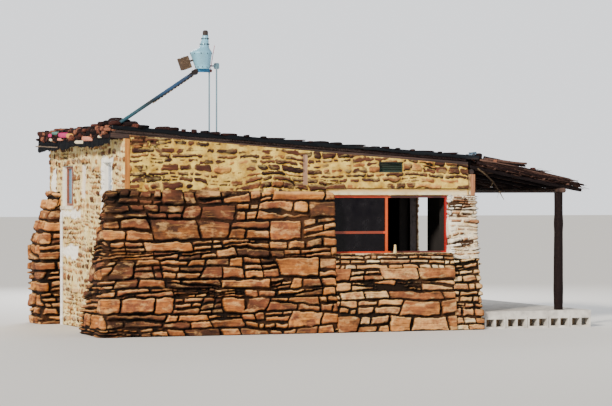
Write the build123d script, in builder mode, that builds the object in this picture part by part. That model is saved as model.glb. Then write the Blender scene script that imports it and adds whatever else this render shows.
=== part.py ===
"""One-room stone cottage with a lean-to verandah: all sizes in millimetres.

The origin is on the ground, in the middle of the house. +X runs along the front wall
towards the verandah, +Y runs from the front wall to the rear wall, and +Z is up.
"""
from build123d import *
from math import atan2, ceil, cos, radians, sin, tan
import os

os.makedirs("parts", exist_ok=True)

# Seats and running clearances
seat = 0.3

# House shell over the upper walls; the roof falls from the left end to the right end
length = 6100.0
depth = 4600.0
wall = 350.0
ledge_height = 2240.0
upper_height = 900.0
roof_pitch = 4.0
wall_height = ledge_height + upper_height
left = -length / 2
right = length / 2
front = -depth / 2
rear = depth / 2
inner_depth = depth - 2 * wall

# Rough lower courses of the front wall: a ledge on top, and a batter down to the ground
ledge_width = 100.0
batter = 210.0

# Floors: slabs of concrete on a fill as high as one hollow block
block_length = 390.0
block_height = 190.0
block_depth = 190.0
block_joint = 10.0
block_shell = 32.0
slab_thickness = 100.0
floor_level = block_height + slab_thickness

# Front window in the lower courses, just under the lintel
pier_width = 493.0
window_width = 2100.0
window_height = 970.0
window_right = right - pier_width
window_left = window_right - window_width
window_sill = ledge_height - window_height
frame_bar = 42.0
frame_depth = 40.0
frame_setback = 20.0
mullion_offset = -50.0
transom_drop = 615.0
glass_thickness = 4.0
lintel_height = 110.0
lintel_bearing = 90.0

# Vent high in the front wall
vent_from_right = 1520.0
vent_drop = 120.0
vent_centre_x = right - vent_from_right
vent_width = 440.0
vent_height = 180.0
vent_bar = 22.0
vent_slats = 4
vent_slat_thickness = 9.0
vent_slat_tilt = 35.0
vent_depth = 60.0

# Timber let into the upper front wall
corner_plank_width = 75.0
corner_plank_thickness = 28.0
joint_post_x = 4.0
joint_post_width = 85.0
joint_post_rise = 170.0
joint_post_gap = 14.0
right_post_width = 75.0
chase_depth = 50.0
timber_proud = 12.0

# Openings in the left end wall: centre from the front face, width, height and how far
# the sill lies below the top of the walls
near_light_centre = 950.0
near_light_width = 500.0
near_light_drop = 1130.0
near_light_sill = wall_height - near_light_drop
near_light_height = 760.0
slot_offset = 70.0
slot_centre = depth / 2 + slot_offset
slot_width = 260.0
slot_drop = 950.0
slot_sill = wall_height - slot_drop
slot_height = 570.0
far_light_from_rear = 1175.0
far_light_centre = depth - far_light_from_rear
far_light_width = 750.0
far_light_drop = 1090.0
far_light_sill = wall_height - far_light_drop
far_light_height = 690.0
timber_bar = 48.0
timber_depth = 70.0
timber_setback = 60.0
slot_boards = 2
slot_board_gap = 8.0
slot_board_thickness = 25.0
sill_height = 55.0
sill_projection = 45.0
sill_ear = 60.0

# Doorway and window in the right end wall, measured from the front face
door_start = 1180.0
door_width = 1230.0
door_head = 2300.0
door_jamb = 60.0
door_frame_depth = 110.0
side_window_start = 2640.0
side_window_width = 1000.0
side_window_sill = 1270.0

# Rear window, like the near light of the left end
rear_window_centre = -900.0

# Roof: plates on the walls, poles across, corrugated sheets down the slope
plate_width = 150.0
plate_height = 75.0
roof_pole = 90.0
roof_poles = 8
pole_inset = 95.0
left_overhang = 240.0
right_overhang = 70.0
barge_inset = 70.0
last_pole_inset = 210.0
eave_pole = 68.0
corrugation = 76.2
corrugation_depth = 17.0
sheet_thickness = 2.0
waves_per_sheet = 10
points_per_wave = 8
sheet_halves = 2 * waves_per_sheet
sheet_step = sheet_halves - 3
flashing_top = 70.0
flashing_drop = 110.0
flashing_thickness = 3.0
strip_top = 60.0
strip_drop = 85.0

# Stones on the left edge of the roof, placed from the middle of each sheet
stone_offset = 125.0
stone_margin = 10.0
stone_stagger = 105.0
stone_size = 215.0

# Verandah: ledger on the end wall, rafters, outer beam on two posts, brush on top
ledger_drop = 123.0
ledger_ledge = 130.0
ledger_inset = 60.0
beam = 85.0
beam_overhang = 110.0
rafter = 70.0
rafters = 8
rafter_tip = 400.0
rafter_inset = 45.0
post_diameter = 108.0
verandah_drop = 310.0
post_reach = 1610.0
verandah_reach = 2080.0
verandah_lip = 200.0
brush_overhang = 50.0
brush_sides = 6
lath = 28.0
laths = 9
lath_inset = 110.0
branches = 46
branch_sizes = (52.0, 38.0, 46.0)
branch_insets = ((0.0, 0.0), (150.0, 95.0), (60.0, 30.0), (260.0, 160.0))

# Broken branch hanging from the first rafter
branch_diameter = 26.0
branch_start = 50.0
branch_bend = 90.0
branch_knees = ((0, 0), (280, 215), (390, 372), (500, 530))

# Buttresses of loose stone at the two left corners
front_buttress_base = 450.0
front_buttress_top = 260.0
front_buttress_back = 1000.0
front_buttress_top_back = 120.0
rear_buttress_drop = 850.0
rear_buttress_height = wall_height - rear_buttress_drop
rear_buttress_knee = 1390.0
rear_buttress_reach = 350.0
rear_buttress_width = 700.0

# Waste pipe on the left end
pipe_diameter = 62.0
pipe_from_rear = 880.0
pipe_y = rear - pipe_from_rear
pipe_drop = 95.0
pipe_height = far_light_sill - pipe_drop
pipe_standoff = 45.0
pipe_bend = 40.0

# Roof mast: a leaning pole and two rods that carry a hooded head
mast_foot_x = left - 104.0
mast_from_sheet_edge = 224.0
mast_foot_length = 120.0
mast_foot_width = 110.0
mast_foot_thickness = 8.0
mast_diameter = 58.0
mast_reach = 1230.0
mast_rise = 1086.0
mast_head_x = left + mast_reach
mast_head_z = wall_height + mast_rise
knuckle_diameter = 96.0
knuckle_length = 74.0
conduit_diameter = 16.0
conduit_length = 820.0
bracket_width = 60.0
bracket_thickness = 50.0
rod_diameter = 24.0
rod_reach = 245.0
rod_x = mast_head_x + rod_reach
rod_spacing = 125.0
lug_width = 90.0
lug_height = 100.0
lug_thickness = 14.0
lug_rise = 54.0
lug_arm = 24.0
hood_clearance = 2.0
hood_reach = 180.0
hood_sides = 20
hood_x = mast_head_x + hood_reach
hood_foot = 230.0
hood_lean = 45.0
hood_swell = 76.0
hood_diameter = 360.0
hood_shoulder_rise = 265.0
hood_taper = 90.0
hood_throat = 150.0
hood_neck = 96.0
hood_height = 545.0
cap_height = 20.0
cap_diameter = 88.0
box_height = 200.0
box_depth = 160.0
box_length = 150.0
box_rise = 150.0
box_stand = 75.0
box_stub = 30.0
whip_from_rod = 17.0
whip_aside = 18.0
whip_diameter = 10.0
whip_length = 390.0
whip_lean = 10.0


def wall_top(x):
    """Height of the front and rear wall tops at x, which fall with the roof."""
    return wall_height - (x - left) * tan(radians(roof_pitch))


def lower_face(z):
    """Y of the rough outer face of the lower courses at height z."""
    return front - ledge_width - batter * (ledge_height - z) / ledge_height


slope = Vector(cos(radians(roof_pitch)), 0, -sin(radians(roof_pitch)))
roof_up = Vector(sin(radians(roof_pitch)), 0, cos(radians(roof_pitch)))
roof_origin = Vector(left, 0, wall_height)
slope_length = length / cos(radians(roof_pitch))
pole_centre = plate_height + seat + roof_pole / 2
sheet_seat = plate_height + roof_pole + 2 * seat
sheet_lift = sheet_thickness + seat
under_crest = sheet_seat + corrugation_depth + sheet_thickness
over_crest = under_crest + sheet_lift
half_wave = corrugation / 2
sheets = ceil((depth / half_wave - sheet_halves) / sheet_step) + 1
waves_wide = (sheets - 1) * sheet_step + sheet_halves
sheet_origin = -waves_wide * half_wave / 2
mast_y = sheet_origin + mast_from_sheet_edge
vent_centre_z = wall_top(vent_centre_x) - vent_drop
joint_post_bottom = ledge_height + joint_post_rise
joint_post_top = wall_top(joint_post_x + joint_post_width / 2) - joint_post_gap
joint_post_length = joint_post_top - joint_post_bottom
ledger_seat = wall_top(right) - ledger_drop
step_x = right - ledger_ledge
plate_run = left_overhang + (step_x - left) / cos(radians(roof_pitch))

# Looking down on the roof: x runs down the slope, y to the rear, z out of the sheets
roof_plane = Plane(origin=roof_origin, x_dir=slope, z_dir=roof_up)


def roof_section(y):
    """Plane across the roof at y: x runs down the slope and y out of the sheets."""
    return Plane(origin=roof_origin + Vector(0, y, 0), x_dir=slope, z_dir=(0, -1, 0))


def roof_cross(distance):
    """Plane square to the slope, at a distance down it: x to the rear, y out of the sheets."""
    return Plane(origin=roof_origin + slope * distance, x_dir=(0, 1, 0), z_dir=slope)


def roof_height(x, rise):
    """Height at x of the surface that lies a rise above the wall tops, square to the roof."""
    return wall_top(x) + rise / cos(radians(roof_pitch))


def crest_under(y, reach):
    """Top of the sheets under a thing at y: the higher crest where an upper sheet is in reach."""
    for number in range(1, sheets, 2):
        start = sheet_origin + number * sheet_step * half_wave
        if start < y + reach and y - reach < start + sheet_halves * half_wave:
            return over_crest
    return under_crest


# Front wall: rough lower courses in three pieces, round the window
with BuildPart() as front_wall_left:
    with BuildSketch(Plane.YZ.offset(left)):
        with BuildLine():
            Polyline(
                (front + wall, 0),
                (front + wall, ledge_height),
                (lower_face(ledge_height), ledge_height),
                (lower_face(0), 0),
                close=True,
            )
        make_face()
    extrude(amount=window_left - left)

with BuildPart() as front_wall_under_window:
    with BuildSketch(Plane.YZ.offset(window_left)):
        with BuildLine():
            Polyline(
                (front + wall, 0),
                (front + wall, window_sill),
                (lower_face(window_sill), window_sill),
                (lower_face(0), 0),
                close=True,
            )
        make_face()
    extrude(amount=window_width)

with BuildPart() as front_wall_pier:
    with BuildSketch(Plane.YZ.offset(window_right)):
        with BuildLine():
            Polyline(
                (front + wall, 0),
                (front + wall, ledge_height),
                (front, ledge_height),
                (lower_face(0), 0),
                close=True,
            )
        make_face()
    extrude(amount=right - window_right)

# Lintel over the front window, borne by the courses on both sides
right_post_height = ledger_seat - ledge_height
lintel_start = window_left - lintel_bearing
lintel_end = right - right_post_width
with BuildPart() as window_lintel:
    with BuildSketch(Plane.XZ.offset(-front)):
        with Locations((lintel_start, ledge_height)):
            Rectangle(lintel_end - lintel_start, lintel_height, align=(Align.MIN, Align.MIN))
    extrude(amount=-wall)

# Upper front wall: a step for the verandah ledger, the vent, and chases for the timbers
with BuildPart() as front_wall_upper:
    with BuildSketch(Plane.XZ.offset(-front)):
        with BuildLine():
            Polyline(
                (left, ledge_height),
                (right, ledge_height),
                (right, ledger_seat),
                (step_x, ledger_seat),
                (step_x, wall_top(step_x)),
                (left, wall_top(left)),
                close=True,
            )
        make_face()
        with Locations((vent_centre_x, vent_centre_z)):
            Rectangle(vent_width, vent_height, mode=Mode.SUBTRACT)
        with Locations((lintel_start, ledge_height)):
            Rectangle(
                lintel_end - lintel_start,
                lintel_height,
                align=(Align.MIN, Align.MIN),
                mode=Mode.SUBTRACT,
            )
    extrude(amount=-wall)
    with BuildSketch(Plane.XZ.offset(-front)):
        with Locations((joint_post_x, joint_post_bottom)):
            Rectangle(joint_post_width, joint_post_length, align=(Align.CENTER, Align.MIN))
        with Locations((right, ledge_height)):
            Rectangle(right_post_width, right_post_height, align=(Align.MAX, Align.MIN))
    extrude(amount=-chase_depth, mode=Mode.SUBTRACT)

# Plank standing on the ledge at the left corner
with BuildPart() as corner_plank:
    with BuildSketch(Plane.XZ.offset(-front)):
        with BuildLine():
            Polyline(
                (left, ledge_height),
                (left + corner_plank_width, ledge_height),
                (left + corner_plank_width, wall_top(left + corner_plank_width)),
                (left, wall_top(left)),
                close=True,
            )
        make_face()
    extrude(amount=corner_plank_thickness)
    chamfer(corner_plank.edges().filter_by(Axis.Z).group_by(Axis.Y)[0], 4)

# Old door post left standing in the upper wall
with BuildPart() as joint_post:
    with BuildSketch(Plane.XZ.offset(-(front + chase_depth))):
        with Locations((joint_post_x, joint_post_bottom)):
            Rectangle(joint_post_width, joint_post_length, align=(Align.CENTER, Align.MIN))
    extrude(amount=chase_depth + timber_proud)

# Short post in the right corner, under the ledger
with BuildPart() as corner_post:
    with BuildSketch(Plane.XZ.offset(-(front + chase_depth))):
        with Locations((right, ledge_height)):
            Rectangle(right_post_width, right_post_height, align=(Align.MAX, Align.MIN))
    extrude(amount=chase_depth + timber_proud)

# Rear wall, full height, with one window
with BuildPart() as rear_wall:
    with BuildSketch(Plane.XZ.offset(-rear)):
        with BuildLine():
            Polyline(
                (left, 0),
                (right, 0),
                (right, ledger_seat),
                (step_x, ledger_seat),
                (step_x, wall_top(step_x)),
                (left, wall_top(left)),
                close=True,
            )
        make_face()
        with Locations((rear_window_centre, near_light_sill)):
            Rectangle(
                near_light_width,
                near_light_height,
                align=(Align.CENTER, Align.MIN),
                mode=Mode.SUBTRACT,
            )
    extrude(amount=wall)

# Left end wall between the front and rear walls, with its three openings
end_wall_start = front + wall
left_openings = (
    (near_light_centre, near_light_width, near_light_sill, near_light_height),
    (slot_centre, slot_width, slot_sill, slot_height),
    (far_light_centre, far_light_width, far_light_sill, far_light_height),
)
with BuildPart() as left_wall:
    with BuildSketch(Plane.XZ.offset(-end_wall_start)):
        with BuildLine():
            Polyline(
                (left, 0),
                (left + wall, 0),
                (left + wall, roof_height(left + wall, plate_height)),
                (left, roof_height(left, plate_height)),
                close=True,
            )
        make_face()
    extrude(amount=-inner_depth)
    with BuildSketch(Plane.YZ.offset(left)):
        for centre, width, sill, height in left_openings:
            with Locations((front + centre, sill)):
                Rectangle(width, height, align=(Align.CENTER, Align.MIN))
    extrude(amount=wall, mode=Mode.SUBTRACT)
    pipe_axis = Plane(origin=(left, pipe_y, pipe_height), z_dir=(1, 0, 0))
    with BuildSketch(pipe_axis):
        Circle(pipe_diameter / 2 + seat)
    extrude(amount=wall, mode=Mode.SUBTRACT)

# Right end wall: its outer strip stops at the seat of the verandah ledger
door_y = front + door_start
door_end_y = door_y + door_width
side_window_y = front + side_window_start
inner_x = right - wall


def end_wall_section(bottom):
    """Outline of the right end wall above a height, with the seat cut in its outer edge."""
    Polyline(
        (inner_x, bottom),
        (right, bottom),
        (right, ledger_seat),
        (step_x, ledger_seat),
        (step_x, roof_height(step_x, plate_height)),
        (inner_x, roof_height(inner_x, plate_height)),
        close=True,
    )


with BuildPart() as right_wall_front:
    with BuildSketch(Plane.XZ.offset(-end_wall_start)):
        with BuildLine():
            end_wall_section(0)
        make_face()
    extrude(amount=-(door_y - end_wall_start))

with BuildPart() as right_wall_over_door:
    with BuildSketch(Plane.XZ.offset(-door_y)):
        with BuildLine():
            end_wall_section(door_head)
        make_face()
    extrude(amount=-door_width)

with BuildPart() as right_wall_rear:
    with BuildSketch(Plane.XZ.offset(-door_end_y)):
        with BuildLine():
            end_wall_section(0)
        make_face()
    extrude(amount=-(rear - wall - door_end_y))
    with BuildSketch(Plane.YZ.offset(inner_x)):
        with Locations((side_window_y, side_window_sill)):
            Rectangle(
                side_window_width,
                door_head - side_window_sill,
                align=(Align.MIN, Align.MIN),
            )
    extrude(amount=wall, mode=Mode.SUBTRACT)

# Loose-stone buttress round the left front corner, in line with the lower courses
with BuildPart() as front_buttress:
    for height, reach, back in (
        (0, front_buttress_base, front_buttress_back),
        (ledge_height, front_buttress_top, front_buttress_top_back),
    ):
        with BuildSketch(Plane.XY.offset(height)):
            with BuildLine():
                Polyline(
                    (left, lower_face(height)),
                    (left, front + back),
                    (left - reach, front + back),
                    (left - reach, lower_face(height)),
                    close=True,
                )
            make_face()
    loft(ruled=True)

# Stepped buttress at the left rear corner
with BuildPart() as rear_buttress:
    with BuildSketch(Plane.XZ.offset(-rear)):
        with BuildLine():
            Polyline(
                (left, 0),
                (left, rear_buttress_height),
                (left - rear_buttress_reach, rear_buttress_knee),
                (left - rear_buttress_reach, 0),
                close=True,
            )
        make_face()
    extrude(amount=rear_buttress_width)

# Ground fill and floor slab of the room
with BuildPart() as floor_fill:
    with BuildSketch():
        Rectangle(length - 2 * wall, inner_depth)
    extrude(amount=block_height)

with BuildPart() as floor_slab:
    with BuildSketch(Plane.XY.offset(block_height)):
        Rectangle(length - 2 * wall, inner_depth)
    extrude(amount=slab_thickness)

# Threshold of the doorway, through the wall
with BuildPart() as threshold:
    with BuildSketch():
        with Locations((inner_x, door_y)):
            Rectangle(wall, door_width, align=(Align.MIN, Align.MIN))
    extrude(amount=floor_level)

# Verandah floor: fill behind hollow blocks on their sides, with a slab over both
verandah_end = right + verandah_reach
verandah_front = front - verandah_lip
verandah_depth = depth + 2 * verandah_lip
block_pitch = block_length + block_joint
front_blocks = int(verandah_reach // block_pitch)
side_blocks = int((verandah_depth - 2 * block_depth) // block_pitch)
core_width = (block_length - 3 * block_shell) / 2
core_height = block_height - 2 * block_shell
with BuildPart() as verandah_blocks:
    for index in range(front_blocks):
        block_x = verandah_end - (index + 0.5) * block_pitch + block_joint / 2
        with BuildSketch(Plane.XZ.offset(-verandah_front)):
            with Locations((block_x, block_height / 2)):
                Rectangle(block_length, block_height)
            with Locations(
                (block_x - (core_width + block_shell) / 2, block_height / 2),
                (block_x + (core_width + block_shell) / 2, block_height / 2),
            ):
                Rectangle(core_width, core_height, mode=Mode.SUBTRACT)
        extrude(amount=-block_depth)
    for index in range(side_blocks):
        block_y = verandah_front + block_depth + block_joint + (index + 0.5) * block_pitch
        with BuildSketch():
            with Locations((verandah_end - block_depth / 2, block_y)):
                Rectangle(block_depth, block_length)
        extrude(amount=block_height)

fill_margin = block_depth + block_joint
with BuildPart() as verandah_fill:
    with BuildSketch():
        with Locations((right, verandah_front + fill_margin)):
            Rectangle(
                verandah_reach - fill_margin,
                verandah_depth - 2 * fill_margin,
                align=(Align.MIN, Align.MIN),
            )
    extrude(amount=block_height)

with BuildPart() as verandah_floor:
    with BuildSketch(Plane.XY.offset(block_height)):
        with Locations((right, verandah_front)):
            Rectangle(verandah_reach, verandah_depth, align=(Align.MIN, Align.MIN))
    extrude(amount=slab_thickness)
    chamfer(verandah_floor.edges().filter_by(Axis.X).group_by(Axis.Z)[-1], 6)

# Steel frame of the front window: two lights, the left one with a transom
mullion_x = window_left + window_width / 2 + mullion_offset
frame_face = front + frame_setback
transom_z = ledge_height - transom_drop
with BuildPart() as front_window_frame:
    with BuildSketch(Plane.XZ.offset(-frame_face)):
        with Locations((window_left, window_sill)):
            Rectangle(window_width, window_height, align=(Align.MIN, Align.MIN))
        with Locations((window_left + frame_bar, window_sill + frame_bar)):
            Rectangle(
                window_width - 2 * frame_bar,
                window_height - 2 * frame_bar,
                align=(Align.MIN, Align.MIN),
                mode=Mode.SUBTRACT,
            )
        with Locations((mullion_x, window_sill)):
            Rectangle(frame_bar, window_height, align=(Align.CENTER, Align.MIN))
        with Locations((window_left, transom_z)):
            Rectangle(mullion_x - window_left, frame_bar, align=(Align.MIN, Align.CENTER))
    extrude(amount=-frame_depth)

# Two panes are left, both in the left light
pane_left = window_left + frame_bar + seat
pane_width = mullion_x - frame_bar / 2 - seat - pane_left
lower_pane_bottom = window_sill + frame_bar + seat
lower_pane_top = transom_z - frame_bar / 2 - seat
upper_pane_bottom = transom_z + frame_bar / 2 + seat
upper_pane_top = ledge_height - frame_bar - seat
with BuildPart() as front_window_glass:
    with BuildSketch(Plane.XZ.offset(-(frame_face + frame_depth / 2))):
        with Locations((pane_left, lower_pane_bottom)):
            Rectangle(pane_width, lower_pane_top - lower_pane_bottom, align=(Align.MIN, Align.MIN))
        with Locations((pane_left, upper_pane_bottom)):
            Rectangle(pane_width, upper_pane_top - upper_pane_bottom, align=(Align.MIN, Align.MIN))
    extrude(amount=-glass_thickness)

# Louvred vent in the upper wall
with BuildPart() as vent_louvre:
    with BuildSketch(Plane.XZ.offset(-(front + frame_setback))):
        with Locations((vent_centre_x, vent_centre_z)):
            Rectangle(vent_width, vent_height)
            Rectangle(vent_width - 2 * vent_bar, vent_height - 2 * vent_bar, mode=Mode.SUBTRACT)
    extrude(amount=-vent_depth)
    slat_pitch = (vent_height - 2 * vent_bar) / vent_slats
    slat_start = vent_centre_x - vent_width / 2 + vent_bar / 2
    for index in range(vent_slats):
        slat_z = vent_centre_z - vent_height / 2 + vent_bar + (index + 0.5) * slat_pitch
        slat_plane = Plane(
            origin=(slat_start, front + frame_setback + vent_depth / 2, slat_z),
            x_dir=(0, cos(radians(vent_slat_tilt)), sin(radians(vent_slat_tilt))),
            z_dir=(1, 0, 0),
        )
        with BuildSketch(slat_plane):
            Rectangle(vent_depth * 0.75, vent_slat_thickness)
        extrude(amount=vent_width - vent_bar)


def light_outline(centre, sill, width, height, bar, mullion):
    """Outline of a small timber window: a frame, and a mullion where it has one."""
    with Locations((centre, sill + height / 2)):
        Rectangle(width, height)
        Rectangle(width - 2 * bar, height - 2 * bar, mode=Mode.SUBTRACT)
        if mullion:
            Rectangle(bar, height)


def pane_outline(centre, sill, width, height, bar, mullion):
    """Outline of the panes that fill such a window, clear of its frame."""
    lights = 2 if mullion else 1
    pane = (width - (lights + 1) * bar) / lights
    for index in range(lights):
        offset = (index - (lights - 1) / 2) * (pane + bar)
        with Locations((centre + offset, sill + height / 2)):
            Rectangle(pane - 2 * seat, height - 2 * bar - 2 * seat)


# Timber windows of the left end and of the rear wall
end_frame_plane = Plane.YZ.offset(left + timber_setback)
end_pane_plane = Plane.YZ.offset(left + timber_setback + timber_depth / 2)
near_light = (front + near_light_centre, near_light_sill, near_light_width, near_light_height)
far_light = (front + far_light_centre, far_light_sill, far_light_width, far_light_height)
with BuildPart() as near_window_frame:
    with BuildSketch(end_frame_plane):
        light_outline(*near_light, timber_bar, False)
    extrude(amount=timber_depth)

with BuildPart() as near_window_glass:
    with BuildSketch(end_pane_plane):
        pane_outline(*near_light, timber_bar, False)
    extrude(amount=glass_thickness)

with BuildPart() as far_window_frame:
    with BuildSketch(end_frame_plane):
        light_outline(*far_light, timber_bar, True)
    extrude(amount=timber_depth)

with BuildPart() as far_window_glass:
    with BuildSketch(end_pane_plane):
        pane_outline(*far_light, timber_bar, True)
    extrude(amount=glass_thickness)

# Upright boards that close the narrow slot
with BuildPart() as slot_shutter:
    board_width = (slot_width - (slot_boards - 1) * slot_board_gap) / slot_boards
    with BuildSketch(end_frame_plane):
        for index in range(slot_boards):
            offset = (index - (slot_boards - 1) / 2) * (board_width + slot_board_gap)
            with Locations((front + slot_centre + offset, slot_sill + slot_height / 2)):
                Rectangle(board_width, slot_height)
    extrude(amount=slot_board_thickness)

# Rendered sill under the far window
with BuildPart() as far_window_sill:
    with BuildSketch(Plane.YZ.offset(left - sill_projection)):
        with Locations((front + far_light_centre, far_light_sill)):
            Rectangle(far_light_width + 2 * sill_ear, sill_height, align=(Align.CENTER, Align.MAX))
    extrude(amount=sill_projection)

rear_light = (rear_window_centre, near_light_sill, near_light_width, near_light_height)
with BuildPart() as rear_window_frame:
    with BuildSketch(Plane.XZ.offset(-(rear - timber_setback))):
        light_outline(*rear_light, timber_bar, False)
    extrude(amount=timber_depth)

with BuildPart() as rear_window_glass:
    with BuildSketch(Plane.XZ.offset(-(rear - timber_setback - timber_depth / 2))):
        pane_outline(*rear_light, timber_bar, False)
    extrude(amount=glass_thickness)

# Door frame on the threshold, with no leaf hung in it
with BuildPart() as door_frame:
    with BuildSketch(Plane.YZ.offset(right - timber_setback - door_frame_depth)):
        with Locations((door_y, floor_level)):
            Rectangle(door_width, door_head - floor_level, align=(Align.MIN, Align.MIN))
        with Locations((door_y + door_jamb, floor_level)):
            Rectangle(
                door_width - 2 * door_jamb,
                door_head - floor_level - door_jamb,
                align=(Align.MIN, Align.MIN),
                mode=Mode.SUBTRACT,
            )
    extrude(amount=door_frame_depth)

# Steel frame of the window beside the door
with BuildPart() as side_window_frame:
    with BuildSketch(Plane.YZ.offset(right - frame_setback - frame_depth)):
        light_outline(
            side_window_y + side_window_width / 2,
            side_window_sill,
            side_window_width,
            door_head - side_window_sill,
            frame_bar,
            True,
        )
    extrude(amount=frame_depth)

# Wall plates on the front and rear walls, and on past the left end
with BuildPart() as wall_plates:
    with BuildSketch(roof_plane):
        for edge, align_y in ((front, Align.MIN), (rear, Align.MAX)):
            with Locations((-left_overhang, edge)):
                Rectangle(plate_run, plate_width, align=(Align.MIN, align_y))
    extrude(amount=plate_height)

# Round poles from plate to plate
first_pole = -left_overhang + barge_inset
last_pole = slope_length - last_pole_inset
pole_pitch = (last_pole - first_pole) / (roof_poles - 1)
pole_length = depth - 2 * pole_inset
with BuildPart() as roof_pole_row:
    with BuildSketch(roof_section(rear - pole_inset)):
        for index in range(roof_poles):
            with Locations((first_pole + index * pole_pitch, pole_centre)):
                Circle(roof_pole / 2)
    extrude(amount=pole_length)

# Weathered poles that close the eaves in front of the pole ends
eave_offset = pole_inset - eave_pole / 2 - 4 * seat
with BuildPart() as eave_poles:
    with BuildSketch(roof_cross(-left_overhang)):
        with Locations(
            (front + eave_offset, plate_height + seat + eave_pole / 2),
            (rear - eave_offset, plate_height + seat + eave_pole / 2),
        ):
            Circle(eave_pole / 2)
    extrude(amount=plate_run)

# Corrugated sheets, laid under and over by turns, with side laps of one and a half waves
sheet_run = left_overhang + slope_length + right_overhang


def wave(first, last, height):
    """Points of the corrugated line from one half wave to another: a sine at a height."""
    steps = points_per_wave // 2
    points = []
    for step in range(first * steps, last * steps + 1):
        swing = corrugation_depth / 2 * sin(radians(180 * step / steps))
        points.append((sheet_origin + step * half_wave / steps, height - swing))
    return points


def sheet_outline(number, seat_height):
    """Closed section of one sheet, with its valleys at a height above the plates."""
    first = number * sheet_step
    last = first + sheet_halves
    low = seat_height + corrugation_depth / 2
    upper_edge = wave(first, last, low + sheet_thickness)
    Polyline(*wave(first, last, low), *reversed(upper_edge), close=True)


with BuildPart() as roof_sheets_under:
    for number in range(0, sheets, 2):
        with BuildSketch(roof_cross(-left_overhang)):
            with BuildLine():
                sheet_outline(number, sheet_seat)
            make_face()
        extrude(amount=sheet_run)

with BuildPart() as roof_sheets_over:
    for number in range(1, sheets, 2):
        with BuildSketch(roof_cross(-left_overhang)):
            with BuildLine():
                sheet_outline(number, sheet_seat + sheet_lift)
            make_face()
        extrude(amount=sheet_run)

# Bent flashing over the left edge of the sheets
flashing_edge = -left_overhang - flashing_thickness - seat
with BuildPart() as edge_flashing:
    with BuildSketch(roof_section(rear)):
        with BuildLine():
            Polyline(
                (flashing_edge, over_crest + seat + flashing_thickness),
                (flashing_edge + flashing_top, over_crest + seat + flashing_thickness),
                (flashing_edge + flashing_top, over_crest + seat),
                (flashing_edge + flashing_thickness, over_crest + seat),
                (flashing_edge + flashing_thickness, over_crest - flashing_drop),
                (flashing_edge, over_crest - flashing_drop),
                close=True,
            )
        make_face()
    extrude(amount=depth)

# Bent strips over the long edges of the sheets, from the flashing to the end wall, where they
# stop short of the brush
strip_edge = seat - sheet_origin
strip_start = flashing_edge + flashing_top + seat
strips = []
for side in (-1, 1):
    strip_seat = crest_under(side * strip_edge, strip_top) + seat
    with BuildPart() as strip:
        with BuildSketch(roof_cross(strip_start)):
            with BuildLine():
                Polyline(
                    (side * (strip_edge + sheet_thickness), strip_seat + sheet_thickness),
                    (side * (strip_edge - strip_top), strip_seat + sheet_thickness),
                    (side * (strip_edge - strip_top), strip_seat),
                    (side * strip_edge, strip_seat),
                    (side * strip_edge, strip_seat - strip_drop),
                    (side * (strip_edge + sheet_thickness), strip_seat - strip_drop),
                    close=True,
                )
            make_face()
        extrude(amount=sheet_run - left_overhang - strip_start)
        split(bisect_by=Plane.YZ.offset(right), keep=Keep.BOTTOM)
    strips.append(strip)
front_edge_strip, rear_edge_strip = strips

# Stones that hold the sheets down along the left edge: two on each sheet, narrower on top,
# and one on the first sheet, beside the foot of the mast
with BuildPart() as roof_stones:
    for number in range(sheets):
        sheet_middle = sheet_origin + (number * sheet_step + waves_per_sheet) * half_wave
        stone_seat = (over_crest if number % 2 else under_crest) + seat
        for side in (-1, 1) if number else (1,):
            stone_u = stone_margin + stone_stagger * (1 + side) + 30 * (number % 3)
            stone_y = sheet_middle + side * stone_offset
            stone_height = stone_size * (0.45 + 0.1 * ((number + side) % 3))
            stone_turn = 37 * number + 50 * side
            with BuildSketch(roof_plane.offset(stone_seat)):
                with Locations(Location((stone_u, stone_y), stone_turn)):
                    Trapezoid(stone_size, stone_size * 0.7, 80)
            extrude(amount=stone_height, taper=14)

# Verandah roof: the ledger and the outer beam carry the rafters
beam_radius = beam / 2
ledger_x = right - ledger_inset
ledger_z = ledger_seat + seat + beam_radius
outer_x = right + post_reach
outer_z = ledger_z - verandah_drop
verandah_pitch = atan2(ledger_z - outer_z, outer_x - ledger_x)
fall = Vector(cos(verandah_pitch), 0, -sin(verandah_pitch))
rafter_lift = beam_radius + seat + rafter / 2

with BuildPart() as verandah_ledger:
    with BuildSketch(Plane.XZ.offset(-rear)):
        with Locations((ledger_x, ledger_z)):
            Circle(beam_radius)
    extrude(amount=depth)

with BuildPart() as verandah_beam:
    with BuildSketch(Plane.XZ.offset(-(rear + beam_overhang))):
        with Locations((outer_x, outer_z)):
            Circle(beam_radius)
    extrude(amount=depth + 2 * beam_overhang)

post_inset = post_diameter / 2
post_height = outer_z - beam_radius - seat - floor_level
with BuildPart() as verandah_post_front:
    with BuildSketch(Plane.XY.offset(floor_level)):
        with Locations((outer_x, front + post_inset)):
            Circle(post_diameter / 2)
    extrude(amount=post_height)

with BuildPart() as verandah_post_rear:
    with BuildSketch(Plane.XY.offset(floor_level)):
        with Locations((outer_x, rear - post_inset)):
            Circle(post_diameter / 2)
    extrude(amount=post_height)

# Origin on the ledger: x runs down the rafters, y out of the verandah roof
fall_origin = Vector(ledger_x, 0, ledger_z)
rafter_start = -(ledger_ledge - ledger_inset) + rafter / 2
rafter_end = (outer_x - ledger_x) / cos(verandah_pitch) + rafter_tip
rafter_run = rafter_end - rafter_start
rafter_first = front + rafter_inset
rafter_pitch = (depth - 2 * rafter_inset) / (rafters - 1)
rafter_plane = Plane(origin=fall_origin + fall * rafter_start, x_dir=(0, 1, 0), z_dir=fall)
with BuildPart() as verandah_rafters:
    with BuildSketch(rafter_plane):
        for index in range(rafters):
            with Locations((rafter_first + index * rafter_pitch, rafter_lift)):
                Circle(rafter / 2)
    extrude(amount=rafter_run)

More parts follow.
